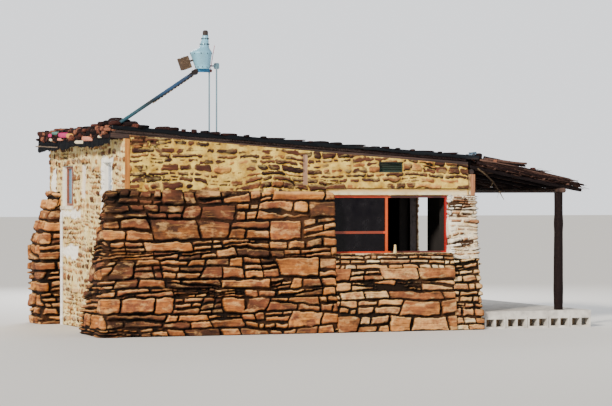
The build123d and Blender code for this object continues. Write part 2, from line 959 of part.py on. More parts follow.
# Brush laid over the rafters: laths across them, and branches of uneven length down the slope
brush_low = rafter_lift + rafter / 2 + seat
brush_start = ledger_inset + seat
brush_end = rafter_end + brush_overhang
lath_pitch = (brush_end - brush_start - 2 * lath_inset) / (laths - 1)
branch_pitch = (depth + 2 * brush_overhang - branch_sizes[0]) / (branches - 1)
branch_low = brush_low + lath + seat
with BuildPart() as verandah_brush:
    lath_plane = Plane(
        origin=fall_origin + Vector(0, rear + brush_overhang, 0),
        x_dir=fall,
        z_dir=(0, -1, 0),
    )
    with BuildSketch(lath_plane):
        for index in range(laths):
            lath_along = brush_start + lath_inset + index * lath_pitch
            with Locations((lath_along, brush_low + lath / 2)):
                RegularPolygon(lath / 2, brush_sides, major_radius=False)
    extrude(amount=depth + 2 * brush_overhang)
    for group, (upper_inset, lower_inset) in enumerate(branch_insets):
        branch_from = fall_origin + fall * (brush_start + upper_inset)
        with BuildSketch(Plane(origin=branch_from, x_dir=(0, 1, 0), z_dir=fall)):
            for index in range(group, branches, len(branch_insets)):
                size = branch_sizes[index % len(branch_sizes)]
                across = front - brush_overhang + branch_sizes[0] / 2 + index * branch_pitch
                with Locations((across, branch_low + size / 2)):
                    RegularPolygon(size / 2, brush_sides, major_radius=False)
        extrude(amount=brush_end - brush_start - upper_inset - lower_inset)

# Crooked branch that hangs down beside the first rafter
branch_y = rafter_first - (rafter + branch_diameter) / 2 - seat
branch_x = right + branch_start
rafter_height = ledger_z + rafter_lift / cos(verandah_pitch)
branch_z = rafter_height - (branch_x - ledger_x) * tan(verandah_pitch)
with BuildPart() as hanging_branch:
    with BuildLine(Plane.XZ.offset(-branch_y)) as branch_line:
        branch_points = [(branch_x + reach, branch_z - drop) for reach, drop in branch_knees]
        FilletPolyline(*branch_points, radius=branch_bend)
    with BuildSketch(Plane(origin=branch_line.line @ 0, z_dir=branch_line.line % 0)):
        Circle(branch_diameter / 2)
    sweep()

# Waste pipe: out of the end wall through a bend, and down to the ground
pipe_x = left - pipe_standoff
with BuildPart() as waste_pipe:
    with BuildLine() as pipe_route:
        FilletPolyline(
            (left + wall, pipe_y, pipe_height),
            (pipe_x, pipe_y, pipe_height),
            (pipe_x, pipe_y, 0),
            radius=pipe_bend,
        )
    with BuildSketch(Plane(origin=(left + wall, pipe_y, pipe_height), z_dir=(-1, 0, 0))):
        Circle(pipe_diameter / 2)
    sweep()

# Mast on the roof: plates on the crests of the sheets under the pole and under the rods
mast_crest = crest_under(mast_y, mast_foot_width / 2) + seat
plate_top = mast_crest + mast_foot_thickness
mast_foot_u = (mast_foot_x - left) / cos(radians(roof_pitch))
rod_foot_u = (rod_x + rod_spacing / 2 - left) / cos(radians(roof_pitch))
with BuildPart() as mast_feet:
    with BuildSketch(roof_plane.offset(mast_crest)):
        with Locations((mast_foot_u, mast_y)):
            RectangleRounded(mast_foot_length, mast_foot_width, 12)
        with Locations((rod_foot_u, mast_y)):
            RectangleRounded(mast_foot_length + rod_spacing, mast_foot_width, 12)
    extrude(amount=mast_foot_thickness)

# Leaning pole, cut level with its foot plate, and its clamp
foot_cut = Plane(origin=roof_origin + roof_up * (plate_top + seat), z_dir=roof_up)
mast_base = Vector(mast_foot_x, mast_y, roof_height(mast_foot_x, plate_top))
mast_head = Vector(mast_head_x, mast_y, mast_head_z)
mast_axis = (mast_head - mast_base).normalized()
mast_side = Vector(-mast_axis.Z, 0, mast_axis.X)
knuckle_radius = knuckle_diameter / 2
with BuildPart() as mast_pole:
    with BuildSketch(Plane(origin=mast_base - mast_axis * mast_diameter, z_dir=mast_axis)):
        Circle(mast_diameter / 2)
    extrude(amount=(mast_head - mast_base).length + mast_diameter)
    split(bisect_by=foot_cut, keep=Keep.TOP)
    knuckle_plane = Plane(origin=mast_head + Vector(0, knuckle_length / 2, 0), z_dir=(0, -1, 0))
    with BuildSketch(knuckle_plane):
        Circle(knuckle_radius)
    extrude(amount=knuckle_length)

conduit_gap = (mast_diameter + conduit_diameter) / 2 + seat
conduit_start = mast_head - mast_axis * (conduit_length + knuckle_radius)
with BuildPart() as mast_conduit:
    with BuildSketch(Plane(origin=conduit_start - mast_side * conduit_gap, z_dir=mast_axis)):
        Circle(conduit_diameter / 2)
    extrude(amount=conduit_length)

# Bracket between the clamp and the near rod, level under the hood, which clears the clamp
bracket_start = mast_head_x + knuckle_radius + seat
bracket_end = rod_x + bracket_width / 2
bracket_low = mast_head_z + knuckle_radius + hood_clearance - bracket_thickness
hood_low = bracket_low + bracket_thickness + seat
with BuildPart() as mast_bracket:
    with BuildSketch(Plane.XY.offset(bracket_low)):
        with Locations((bracket_start, mast_y)):
            Rectangle(bracket_end - bracket_start, bracket_width, align=(Align.MIN, Align.CENTER))
    extrude(amount=bracket_thickness)
    fillet(mast_bracket.edges().filter_by(Axis.Z).group_by(Axis.X)[-1], bracket_width / 3)

# Rods from the roof: the near one holds the bracket, the far one ends in a lug, whose arm
# reaches the side of the hood
far_rod_x = rod_x + rod_spacing
lug_z = hood_low + lug_rise
hood_foot_x = hood_x - hood_lean
hood_spread = hood_lean - hood_swell + (hood_diameter - hood_foot) / 2
arm_top = lug_rise + lug_arm / 2
arm_start = hood_foot_x + hood_foot / 2 + hood_spread * arm_top / hood_shoulder_rise + seat
with BuildPart() as mast_rods:
    for x, top in ((rod_x, bracket_low - seat), (far_rod_x, lug_z)):
        with BuildSketch(Plane.XY.offset(top)):
            with Locations((x, mast_y)):
                Circle(rod_diameter / 2)
        extrude(amount=-(top - floor_level))
    with BuildSketch(Plane.XZ.offset(-mast_y)):
        with Locations((far_rod_x, lug_z)):
            RectangleRounded(lug_width, lug_height, lug_width / 4)
        with Locations((arm_start, lug_z)):
            Rectangle(far_rod_x - arm_start, lug_arm, align=(Align.MIN, Align.CENTER))
    extrude(amount=lug_thickness / 2, both=True)
    split(bisect_by=foot_cut, keep=Keep.TOP)

# Hood of the head: sections from its narrow foot, over the wide shoulder, up to the neck
with BuildPart() as mast_hood:
    for rise, offset, radius in (
        (0, -hood_lean, hood_foot / 2),
        (hood_shoulder_rise, -hood_swell, hood_diameter / 2),
        (hood_shoulder_rise + hood_taper, -hood_swell / 4, hood_throat / 2),
        (hood_height, 0, hood_neck / 2),
    ):
        with BuildSketch(Plane.XY.offset(hood_low + rise)):
            with Locations((hood_x + offset, mast_y)):
                RegularPolygon(radius, hood_sides)
    loft(ruled=True)

with BuildPart() as mast_cap:
    with BuildSketch(Plane.XY.offset(hood_low + hood_height + seat)):
        with Locations((hood_x, mast_y)):
            Circle(hood_neck / 2)
    extrude(amount=cap_height, taper=20)
    with BuildSketch(Plane.XY.offset(hood_low + hood_height + seat + cap_height)):
        with Locations((hood_x, mast_y)):
            Circle(cap_diameter / 2)
    extrude(amount=cap_diameter * 0.7)
    chamfer(mast_cap.faces().sort_by(Axis.Z)[-1].edges(), cap_diameter / 5)

# Box that stands off the sloping side of the hood on a stub
hood_side = Vector(
    hood_lean - hood_swell - (hood_diameter - hood_foot) / 2,
    0,
    hood_shoulder_rise,
).normalized()
hood_out = Vector(-hood_side.Z, 0, hood_side.X)
stub_origin = Vector(hood_foot_x - hood_foot / 2, mast_y, hood_low) + hood_side * box_rise
stub_origin += hood_out * seat
with BuildPart() as mast_box:
    with BuildSketch(Plane(origin=stub_origin, x_dir=hood_side, z_dir=hood_out)):
        Circle(box_stub / 2)
    extrude(amount=box_stand)
    with BuildSketch(Plane(origin=stub_origin + hood_out * box_stand, x_dir=hood_side, z_dir=hood_out)):
        Rectangle(box_height, box_depth)
    extrude(amount=box_length)
    chamfer(mast_box.edges().filter_by(Axis.Y).filter_by(GeomType.LINE), 8)

# Whip on the end of the bracket, which leans away from the hood
whip_axis = Vector(sin(radians(whip_lean)), 0, cos(radians(whip_lean)))
whip_base = Vector(rod_x + whip_from_rod, mast_y - whip_aside, hood_low)
with BuildPart() as mast_whip:
    with BuildSketch(Plane(origin=whip_base - whip_axis * whip_diameter, z_dir=whip_axis)):
        Circle(whip_diameter / 2)
    extrude(amount=whip_length + whip_diameter)
    split(bisect_by=Plane.XY.offset(hood_low), keep=Keep.TOP)

parts = {
    "front_wall_left": front_wall_left,
    "front_wall_under_window": front_wall_under_window,
    "front_wall_pier": front_wall_pier,
    "front_wall_upper": front_wall_upper,
    "window_lintel": window_lintel,
    "corner_plank": corner_plank,
    "joint_post": joint_post,
    "corner_post": corner_post,
    "rear_wall": rear_wall,
    "left_wall": left_wall,
    "right_wall_front": right_wall_front,
    "right_wall_over_door": right_wall_over_door,
    "right_wall_rear": right_wall_rear,
    "front_buttress": front_buttress,
    "rear_buttress": rear_buttress,
    "floor_fill": floor_fill,
    "floor_slab": floor_slab,
    "threshold": threshold,
    "verandah_blocks": verandah_blocks,
    "verandah_fill": verandah_fill,
    "verandah_floor": verandah_floor,
    "front_window_frame": front_window_frame,
    "front_window_glass": front_window_glass,
    "vent_louvre": vent_louvre,
    "near_window_frame": near_window_frame,
    "near_window_glass": near_window_glass,
    "far_window_frame": far_window_frame,
    "far_window_glass": far_window_glass,
    "slot_shutter": slot_shutter,
    "far_window_sill": far_window_sill,
    "rear_window_frame": rear_window_frame,
    "rear_window_glass": rear_window_glass,
    "door_frame": door_frame,
    "side_window_frame": side_window_frame,
    "wall_plates": wall_plates,
    "roof_poles": roof_pole_row,
    "eave_poles": eave_poles,
    "roof_sheets_under": roof_sheets_under,
    "roof_sheets_over": roof_sheets_over,
    "edge_flashing": edge_flashing,
    "front_edge_strip": front_edge_strip,
    "rear_edge_strip": rear_edge_strip,
    "roof_stones": roof_stones,
    "verandah_ledger": verandah_ledger,
    "verandah_beam": verandah_beam,
    "verandah_post_front": verandah_post_front,
    "verandah_post_rear": verandah_post_rear,
    "verandah_rafters": verandah_rafters,
    "verandah_brush": verandah_brush,
    "hanging_branch": hanging_branch,
    "waste_pipe": waste_pipe,
    "mast_feet": mast_feet,
    "mast_pole": mast_pole,
    "mast_conduit": mast_conduit,
    "mast_bracket": mast_bracket,
    "mast_rods": mast_rods,
    "mast_hood": mast_hood,
    "mast_cap": mast_cap,
    "mast_box": mast_box,
    "mast_whip": mast_whip,
}
for name, built in parts.items():
    built.part.label = name
    export_step(built.part, f"parts/{name}.step")
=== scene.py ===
"""One-room stone cottage with a lean-to verandah, dressed for looks. Sizes are in metres."""
import math

import bpy
import numpy as np
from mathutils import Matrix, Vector


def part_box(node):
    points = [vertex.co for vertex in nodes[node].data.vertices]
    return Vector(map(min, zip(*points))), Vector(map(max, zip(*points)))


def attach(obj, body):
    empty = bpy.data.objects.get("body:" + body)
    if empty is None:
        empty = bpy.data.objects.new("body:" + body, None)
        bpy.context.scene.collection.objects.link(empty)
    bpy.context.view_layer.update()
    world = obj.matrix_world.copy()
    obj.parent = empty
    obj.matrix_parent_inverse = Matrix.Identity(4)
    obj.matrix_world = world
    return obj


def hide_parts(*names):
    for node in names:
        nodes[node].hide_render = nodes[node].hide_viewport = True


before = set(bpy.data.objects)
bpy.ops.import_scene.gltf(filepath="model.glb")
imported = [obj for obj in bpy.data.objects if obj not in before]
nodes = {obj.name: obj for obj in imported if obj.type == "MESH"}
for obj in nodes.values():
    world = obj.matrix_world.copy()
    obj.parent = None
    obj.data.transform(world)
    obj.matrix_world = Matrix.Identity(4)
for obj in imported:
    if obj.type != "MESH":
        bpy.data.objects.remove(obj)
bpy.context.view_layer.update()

# Camera: far off to the left of the front wall, level with the window head, and turned a
# little below the horizon, so that the front and the left end show as in the photograph.
camera_data = bpy.data.cameras.new("camera")
camera_data.sensor_width = 36.0
camera_data.lens = 138.8
camera_data.clip_end = 500.0
camera = bpy.data.objects.new("camera", camera_data)
camera.location = (-13.603, -38.34, 2.24)
camera.rotation_euler = (math.radians(89.81), 0.0, math.radians(-20.71))
bpy.context.scene.collection.objects.link(camera)
bpy.context.scene.camera = camera

# Lower courses of the front wall and the buttress at its left end: big rough sandstones laid
# almost dry in uneven courses, with deep joints darkened by painted shade, and a ledge on top.
left, right, front, rear = -3.05, 3.05, -2.30, 2.30
ledge_height = 2.24
window_left, window_right, window_sill = 0.457, 2.557, 1.27
jamb_back = front + 0.025
ground_face = front - 0.31
ledge_face = front - 0.10
stone_colours = (
    (0.00, (0.014, 0.006, 0.005)),
    (0.18, (0.060, 0.021, 0.012)),
    (0.36, (0.230, 0.074, 0.018)),
    (0.54, (0.460, 0.160, 0.030)),
    (0.68, (0.130, 0.044, 0.026)),
    (0.84, (0.580, 0.230, 0.048)),
    (1.00, (0.760, 0.380, 0.120)),
)


hash_primes = (73856093, 19349663, 83492791, 40503)
hash_mixer, word = 1274126177, 0xFFFFFFFF


def lattice(x, y, z, seed):
    """Random number from 0 to 1 at whole-number points: the coordinates times primes, mixed."""
    mixed = 0
    for number, prime in zip((x, y, z, seed), hash_primes):
        mixed = mixed ^ (number * prime)
    mixed = (((mixed & word) ^ ((mixed & word) >> 13)) * hash_mixer) & word
    return ((mixed ^ (mixed >> 16)) & 0xFFFF) / 0xFFFF


def rough(points, size, seed):
    """Smooth noise from -1 to 1: random numbers on a lattice of that size, eased in between."""
    cell = points / np.asarray(size, float)
    base = np.floor(cell).astype(np.int64)
    share = cell - base
    share = share * share * (3 - 2 * share)
    total = np.zeros(points.shape[:-1])
    for corner in range(8):
        step = np.array([(corner >> axis) & 1 for axis in range(3)])
        weight = np.prod(np.where(step == 1, share, 1 - share), axis=-1)
        at = base + step
        total += weight * lattice(at[..., 0], at[..., 1], at[..., 2], seed)
    return 2 * total - 1


def grid_faces(rows, columns, kept=None):
    """Quads between neighbours of a grid of points, of which some cells may be left out."""
    row, column = np.mgrid[0:rows - 1, 0:columns - 1]
    first = (row * columns + column).ravel()
    if kept is not None:
        first = first[kept.ravel()]
    return np.stack([first, first + 1, first + columns + 1, first + columns], axis=1)


def rim_of(order):
    """Numbers of the points round a grid, from its first corner up the first column."""
    return np.concatenate([order[:, 0], order[-1, 1:], order[-2::-1, -1], order[0, -2:0:-1]])


def ring_faces(order):
    """Quads between rings of points, one ring to a row, and the two ends that close them."""
    after = np.roll(order, -1, axis=1)
    quads = np.stack([order[:-1], after[:-1], after[1:], order[1:]], axis=-1).reshape(-1, 4)
    return [quads, np.stack([order[0, ::-1], order[-1]])]


def two_faced(outer, inner):
    """Points and faces of a sheet between two grids of points, closed round its rim."""
    rows, columns = outer.shape[:2]
    size = rows * columns
    rim = rim_of(np.arange(size).reshape(rows, columns))
    after = np.roll(rim, -1)
    face = grid_faces(rows, columns)
    faces = np.concatenate([face, face[:, ::-1] + size,
                            np.stack([rim, after, after + size, rim + size], axis=1)])
    return np.concatenate([outer.reshape(-1, 3), inner.reshape(-1, 3)]), faces


def make_piece(name, points, faces, material, slot, node=None, **values):
    """Puts points, lists of faces and values at the points into a mesh object. It takes a
    slot, which is not used, and may stand in for a CAD node."""
    mesh = bpy.data.meshes.new(name)
    points = np.asarray(points, np.float32).reshape(-1, 3)
    lists = faces if isinstance(faces, list) else [faces]
    mesh.vertices.add(len(points))
    mesh.vertices.foreach_set("co", points.ravel())
    loops = np.concatenate([part.ravel() for part in lists]).astype(np.int32)
    sizes = np.concatenate([np.full(len(part), part.shape[1]) for part in lists])
    mesh.loops.add(len(loops))
    mesh.loops.foreach_set("vertex_index", loops)
    mesh.polygons.add(len(sizes))
    starts = np.concatenate([[0], np.cumsum(sizes)[:-1]]).astype(np.int32)
    mesh.polygons.foreach_set("loop_start", starts)
    mesh.polygons.foreach_set("use_smooth", np.ones(len(sizes), bool))
    mesh.update(calc_edges=True)
    mesh.validate()
    for key, value in values.items():
        attribute = mesh.attributes.new(key, "FLOAT", "POINT")
        attribute.data.foreach_set("value", np.asarray(value, np.float32).ravel())
    made = bpy.data.objects.new(name, mesh)
    bpy.context.scene.collection.objects.link(made)
    mesh.materials.append(material)
    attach(made, "root")
    if node:
        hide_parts(node)


def ease_over(points, width, axis):
    """Running mean over some points of a grid along one axis, with both ends held."""
    if width < 1:
        return points
    moved = np.moveaxis(points, axis, 0)
    before = 2 * moved[:1] - moved[width:0:-1]
    after = 2 * moved[-1:] - moved[-2:-2 - width:-1]
    padded = np.concatenate([before, moved, after])
    total = sum(padded[shift:shift + len(moved)] for shift in range(2 * width + 1))
    return np.moveaxis(total / (2 * width + 1), 0, axis)


def between_rails(net, step, corner_ease):
    """Grid of points on the surface stretched over a net of rails: straight from corner to
    corner along each rail and from rail to rail, divided evenly into steps of that size."""
    net = np.asarray(net, float)
    counts = []
    for axis in (0, 1):
        length = np.linalg.norm(np.diff(net, axis=axis), axis=2).mean(axis=1 - axis)
        counts.append(np.maximum(np.round(length / step).astype(int), 1))
    weights, edges = [], []
    for axis in (0, 1):
        edge = np.concatenate([[0], np.cumsum(counts[axis])])
        place = np.interp(np.arange(edge[-1] + 1), edge, np.arange(net.shape[axis]))
        knots = np.arange(net.shape[axis])
        weights.append(np.maximum(0, 1 - np.abs(place[:, None] - knots[None, :])))
        edges.append(edge)
    grid = np.einsum("ir,rcx,jc->ijx", weights[0], net, weights[1])
    width = int(round(corner_ease / step))
    return ease_over(ease_over(grid, width, 0), width, 1), edges


def outward(grid):
    """Unit normal of a grid: along a row crossed with up the columns."""
    along = np.gradient(grid, axis=1)
    up = np.gradient(grid, axis=0)
    normal = np.cross(along, up)
    return normal / np.maximum(np.linalg.norm(normal, axis=2, keepdims=True), 1e-9)


def lay_stones(u, v, seed, band, stone, thin, joint, sway, blunt):
    """Where each point of a wall lies in its stone. Courses of random height are cut into
    blocks of random length, and a block into up to three layers and each of those into one
    or two stones; all edges sway with noise. Gives the distance to the joint, the place in
    the stone from -1 to 1 both ways, half the stone's height, and its random numbers."""
    draw = np.random.default_rng(seed)
    spot = np.stack([u, np.zeros_like(u), v], axis=-1)
    u = u + sway * rough(spot, 0.45, seed + 1) + 0.3 * sway * rough(spot, 0.11, seed + 2)
    v = v + sway * rough(spot, (0.8, 1, 0.35), seed + 3)
    v = v + 0.3 * sway * rough(spot, 0.12, seed + 4)
    low, high = v.min() - 0.01, v.max() + 0.01
    courses = int((high - low) / band[0]) + 2
    edge = low + np.concatenate([[0], np.cumsum(draw.uniform(*band, courses))])
    course = np.clip(np.searchsorted(edge, v.ravel()).reshape(v.shape) - 1, 0, courses - 1)
    blocks = int((u.max() - u.min()) / stone[0]) + 4
    lengths = draw.uniform(*stone, (courses, blocks))
    starts = u.min() - stone[1] * draw.uniform(0.3, 1.0, (courses, 1))
    side = np.concatenate([starts, starts + np.cumsum(lengths, axis=1)], axis=1)
    lean = draw.uniform(-0.45, 0.45, side.shape)
    middle = (edge[course] + edge[course + 1]) / 2
    block = np.zeros(u.shape, int)
    for number in range(courses):
        here = course == number
        block[here] = np.clip(np.searchsorted(side[number], u[here]) - 1, 1, blocks - 2)
    leaning = v - middle
    before = side[course, block] + lean[course, block] * leaning
    after = side[course, block + 1] + lean[course, block + 1] * leaning
    block = block - (u < before) + (u > after)
    west = side[course, block] + lean[course, block] * leaning
    east = side[course, block + 1] + lean[course, block + 1] * leaning
    layers = 1 + (draw.random((courses, blocks)) < thin[0]).astype(int)
    layers += (draw.random((courses, blocks)) < thin[1]) & (layers > 1)
    cut_low = np.where(layers == 3, 0.34, draw.uniform(0.35, 0.65, layers.shape))
    cut_low = cut_low + draw.uniform(-0.06, 0.06, layers.shape)
    cut_high = np.where(layers == 3, 0.68, 9.0)
    cut_low = np.where(layers == 1, 9.0, cut_low)
    tilt = draw.uniform(-0.14, 0.14, layers.shape)[course, block] * (u - (west + east) / 2)
    tall = edge[course + 1] - edge[course]
    share = (v - edge[course] + tilt) / tall
    layer = (share > cut_low[course, block]).astype(int)
    layer += share > cut_high[course, block]
    low_cut, high_cut = cut_low[course, block], cut_high[course, block]
    one, two, three = layers[course, block] == 1, layer == 1, layer == 2
    floor = np.select([one, three, two], [0.0, high_cut, low_cut], 0.0)
    roof = np.select([one, three, two & (layers[course, block] == 3)], [1.0, 1.0, high_cut],
                     np.where(two, 1.0, low_cut))
    bottom = np.where(floor > 0, edge[course] + floor * tall - tilt, edge[course])
    top = np.where(roof < 1, edge[course] + roof * tall - tilt, edge[course + 1])
    number = (course * blocks + block) * 3 + layer
    numbers = courses * blocks * 3
    wide = (east - west) > 2.6 * (top - bottom)
    split = (draw.random(numbers)[number] < 0.75) & wide
    cut = west + (east - west) * draw.uniform(0.3, 0.7, numbers)[number]
    later = split & (u > cut)
    west, east = np.where(later, cut, west), np.where(split & ~later, cut, east)
    lots = draw.random((2 * numbers, 6))[2 * number + later]
    gap = joint * (0.5 + lots[..., 5])
    half_u = np.maximum((east - west - gap) / 2, 0.008)
    half_v = np.maximum((top - bottom - gap) / 2, 0.006)
    place_u, place_v = u - (west + east) / 2, v - (bottom + top) / 2
    corner = (blunt + 0.45 * lots[..., 4]) * np.minimum(half_u, half_v)
    beyond_u, beyond_v = np.abs(place_u) - half_u + corner, np.abs(place_v) - half_v + corner
    outside = np.hypot(np.maximum(beyond_u, 0), np.maximum(beyond_v, 0))
    inside = corner - outside - np.minimum(np.maximum(beyond_u, beyond_v), 0)
    return inside, place_u / half_u, place_v / half_v, half_v, lots


def wall_skin(name, net, step, material, slot, seed, proud, band, stone, thin, joint, sway, ease,
              mortar=None, holes=(), hole_depth=0.065, skirt=0.05, backing=0.004,
              tone=(0.0, 1.0), tone_field=None, voids=0.0, flat_side=(0, 0, 0), wash=(),
              sleeve=(1.0, 0.0, 0.0), blunt=0.10, dome=0.6, ragged=1.0):
    """Skin of laid stones over a wall. Each stone stands out of the joint like a cushion: a
    quarter circle at its edge, its own height, a tilt and split layers. Mortar is a second
    uneven height, and the higher of the two shows. Holes and borders are turned inwards. A
    wash is a box, low and high corner, inside which the wall is limewashed; a sleeve gives
    the cover, hollow and wash of the turned-in sides of the holes. Blunt, dome and ragged
    say how round the corners, how full the cushions and how uneven the outlines are."""
    grid, (row_edges, column_edges) = between_rails(net, step, ease)
    normal = outward(grid)
    rows, columns = grid.shape[:2]
    stride = np.linalg.norm(np.diff(grid, axis=1), axis=2).mean(axis=0)
    u = np.broadcast_to(np.concatenate([[0], np.cumsum(stride)]), (rows, columns))
    climb = np.linalg.norm(np.diff(grid, axis=0), axis=2)
    v = grid[:1, :, 2] + np.concatenate([np.zeros((1, columns)), np.cumsum(climb, axis=0)])
    inside, across, upward, half_v, lots = lay_stones(u, v, seed, band, stone, thin, joint, sway,
                                                      blunt)
    inside = inside + ragged * (0.005 * rough(grid, 0.035, seed + 5)
                                + 0.004 * rough(grid, 0.075, seed + 12))
    inside = inside - voids * np.maximum(rough(grid, (0.22, 0.22, 0.10), seed + 13), 0)
    round_edge = np.minimum(0.022 * dome / 0.6, dome * half_v)
    rise = np.clip(inside / round_edge, 0, 1)
    rise = np.sqrt(np.maximum(1 - (1 - rise) ** 2, 0))
    face = proud * (0.35 + 0.65 * lots[..., 0])
    face = face + 0.012 * (lots[..., 1] - 0.5) * across + 0.016 * (lots[..., 2] - 0.5) * upward
    face = face + 0.005 * rough(grid, (0.09, 0.09, 0.03), seed + 6)
    face = face + 0.003 * rough(grid, (0.30, 0.30, 0.014), seed + 7)
    face = face * (1 - 0.85 * np.clip((normal * flat_side).sum(axis=2), 0, 1))
    height = backing + np.maximum(face, 0.006) * rise + 0.003 * rough(grid, 0.03, seed + 8)
    cover = np.zeros_like(height)
    hollow = np.clip(1 - inside / 0.010, 0, 1)
    if mortar:
        level = mortar[0] + mortar[1] * rough(grid, (0.55, 0.55, 0.16), seed + 9)
        level = level + mortar[2] * rough(grid, 0.07, seed + 10)
        level = level + mortar[3] * rough(grid, (0.9, 0.9, 0.5), seed + 11)
        cover = np.clip((level - height) / 0.004 + 0.5, 0, 1)
        height = np.maximum(height, level)
        hollow = hollow * (1 - cover)
    height = np.maximum(height, backing * 0.5)
    limed = np.zeros_like(height)
    for low, high in wash:
        within = np.minimum(grid - low, np.asarray(high) - grid).min(axis=2)
        fray = 0.05 * rough(grid, (0.16, 0.16, 0.24), seed + 14)
        fray = fray + 0.03 * rough(grid, 0.05, seed + 15)
        limed = np.maximum(limed, np.clip((within + fray) / 0.03 + 0.5, 0, 1))
    shade = tone[0] + (tone[1] - tone[0]) * lots[..., 3]
    if tone_field is not None:
        shade = np.clip(tone_field(grid, shade), 0, 1)
    points = (grid + normal * height[..., None]).reshape(-1, 3)
    kept = np.ones((rows - 1, columns - 1), bool)
    order = np.arange(rows * columns).reshape(rows, columns)
    loops = [(rim_of(order), skirt, None)]
    for low, high, start, end in holes:
        r0, r1 = row_edges[low], row_edges[high]
        c0, c1 = column_edges[start], column_edges[end]
        kept[r0:r1, c0:c1] = False
        loops.append((np.concatenate([order[r0, c0:c1], order[r0:r1, c1], order[r1, c1:c0:-1],
                                      order[r1:r0:-1, c0]]), hole_depth,
                      (grid[r0, c0] + grid[r1, c1]) / 2))
    faces = [grid_faces(rows, columns, kept)]
    extra, values = [points], [shade.ravel(), cover.ravel(), hollow.ravel(), limed.ravel()]
    flat, flat_normal = grid.reshape(-1, 3), normal.reshape(-1, 3)
    for loop, depth, centre in loops:
        outer, lean_in = loop, 0.0
        if centre is not None:
            inwards = centre - flat[loop]
            off_wall = (inwards * flat_normal[loop]).sum(axis=1, keepdims=True)
            lean_in = 0.007 * np.sign(inwards - off_wall * flat_normal[loop])
        for share in (0.25, 0.6, 1.0):
            start = sum(len(part) for part in extra)
            inner = start + np.arange(len(loop))
            extra.append(flat[loop] - flat_normal[loop] * depth * share + lean_in)
            edges = [values[0][loop]] + [
                values[number + 1][loop] if centre is None or not mortar else
                np.full(len(loop), sleeve[number]) for number in range(3)]
            values = [np.concatenate(pair) for pair in zip(values, edges)]
            faces.append(np.stack([outer, np.roll(outer, -1), np.roll(inner, -1), inner], axis=1))
            outer = inner
    points = np.concatenate(extra)
    points[:, 2] = np.maximum(points[:, 2], 0.0)
    make_piece(name, points, faces, material, slot, tone=values[0], cover=values[1],
               hollow=values[2], limed=values[3])


def add(tree, kind, inputs=None, **settings):
    """Adds a shader node: its settings, and for each input a number or another socket."""
    made = tree.nodes.new(kind)
    for key, value in settings.items():
        setattr(made, key, value)
    for key, value in (inputs or {}).items():
        if isinstance(value, bpy.types.NodeSocket):
            tree.links.new(value, made.inputs[key])
        else:
            made.inputs[key].default_value = value
    return made


def colour_ramp(tree, factor, stops):
    """Colour that runs through stops, each a place from 0 to 1 and a colour."""
    made = add(tree, "ShaderNodeValToRGB", {0: factor})
    ramp = made.color_ramp
    while len(ramp.elements) < len(stops):
        ramp.elements.new(1.0)
    for element, (place, colour) in zip(ramp.elements, stops):
        element.position = place
        element.color = (*colour, 1.0)
    return made.outputs["Color"]


def mix_colour(tree, factor, first, second):
    """First colour, going over to the second by the factor."""
    made = add(tree, "ShaderNodeMix", {0: factor}, data_type="RGBA")
    for socket, value in ((made.inputs[6], first), (made.inputs[7], second)):
        if isinstance(value, bpy.types.NodeSocket):
            tree.links.new(value, socket)
        else:
            socket.default_value = (*value, 1.0)
    return made.outputs[2]


def remap(tree, value, low, high, start=0.0, end=1.0):
    """Value from low to high, carried over to the range from start to end."""
    made = add(tree, "ShaderNodeMapRange", {0: value, 1: low, 2: high, 3: start, 4: end})
    return made.outputs[0]


def stain(tree, colour, value, low, high, amount, stained):
    """Colour, going over to a stained one by up to an amount as a value goes from low to high."""
    return mix_colour(tree, remap(tree, value, low, high, 0.0, amount), colour, stained)


def maths(tree, operation, first, second):
    """Two numbers added, multiplied or the like."""
    return add(tree, "ShaderNodeMath", {0: first, 1: second}, operation=operation).outputs[0]


def noise(tree, place, scale, detail, roughness, stretch=None):
    """Noise from 0 to 1 on a place, stretched along its axes."""
    if stretch:
        place = add(tree, "ShaderNodeMapping", {0: place, 3: stretch}).outputs[0]
    made = add(tree, "ShaderNodeTexNoise", {"Vector": place, "Scale": scale, "Detail": detail,
                                            "Roughness": roughness})
    return made.outputs[0]


def new_material(name):
    """Material with a shader that is still bare, and its object coordinates."""
    material = bpy.data.materials.new(name)
    material.use_nodes = True
    tree = material.node_tree
    shader = tree.nodes["Principled BSDF"]
    place = add(tree, "ShaderNodeTexCoord").outputs["Object"]
    return material, tree, shader, place


def finish_shader(tree, shader, colour, roughness, height=None, depth=0.004, strength=0.6):
    """Feeds the colour, the roughness and a height in the given depth into the shader."""
    tree.links.new(colour, shader.inputs["Base Color"])
    if isinstance(roughness, bpy.types.NodeSocket):
        tree.links.new(roughness, shader.inputs["Roughness"])
    else:
        shader.inputs["Roughness"].default_value = roughness
    if height is not None:
        bump = add(tree, "ShaderNodeBump", {"Strength": strength, "Distance": depth,
                                            "Height": height})
        tree.links.new(bump.outputs[0], shader.inputs["Normal"])


def value_of(tree, name):
    """A value that the mesh holds at its points."""
    return add(tree, "ShaderNodeAttribute", attribute_name=name).outputs["Fac"]


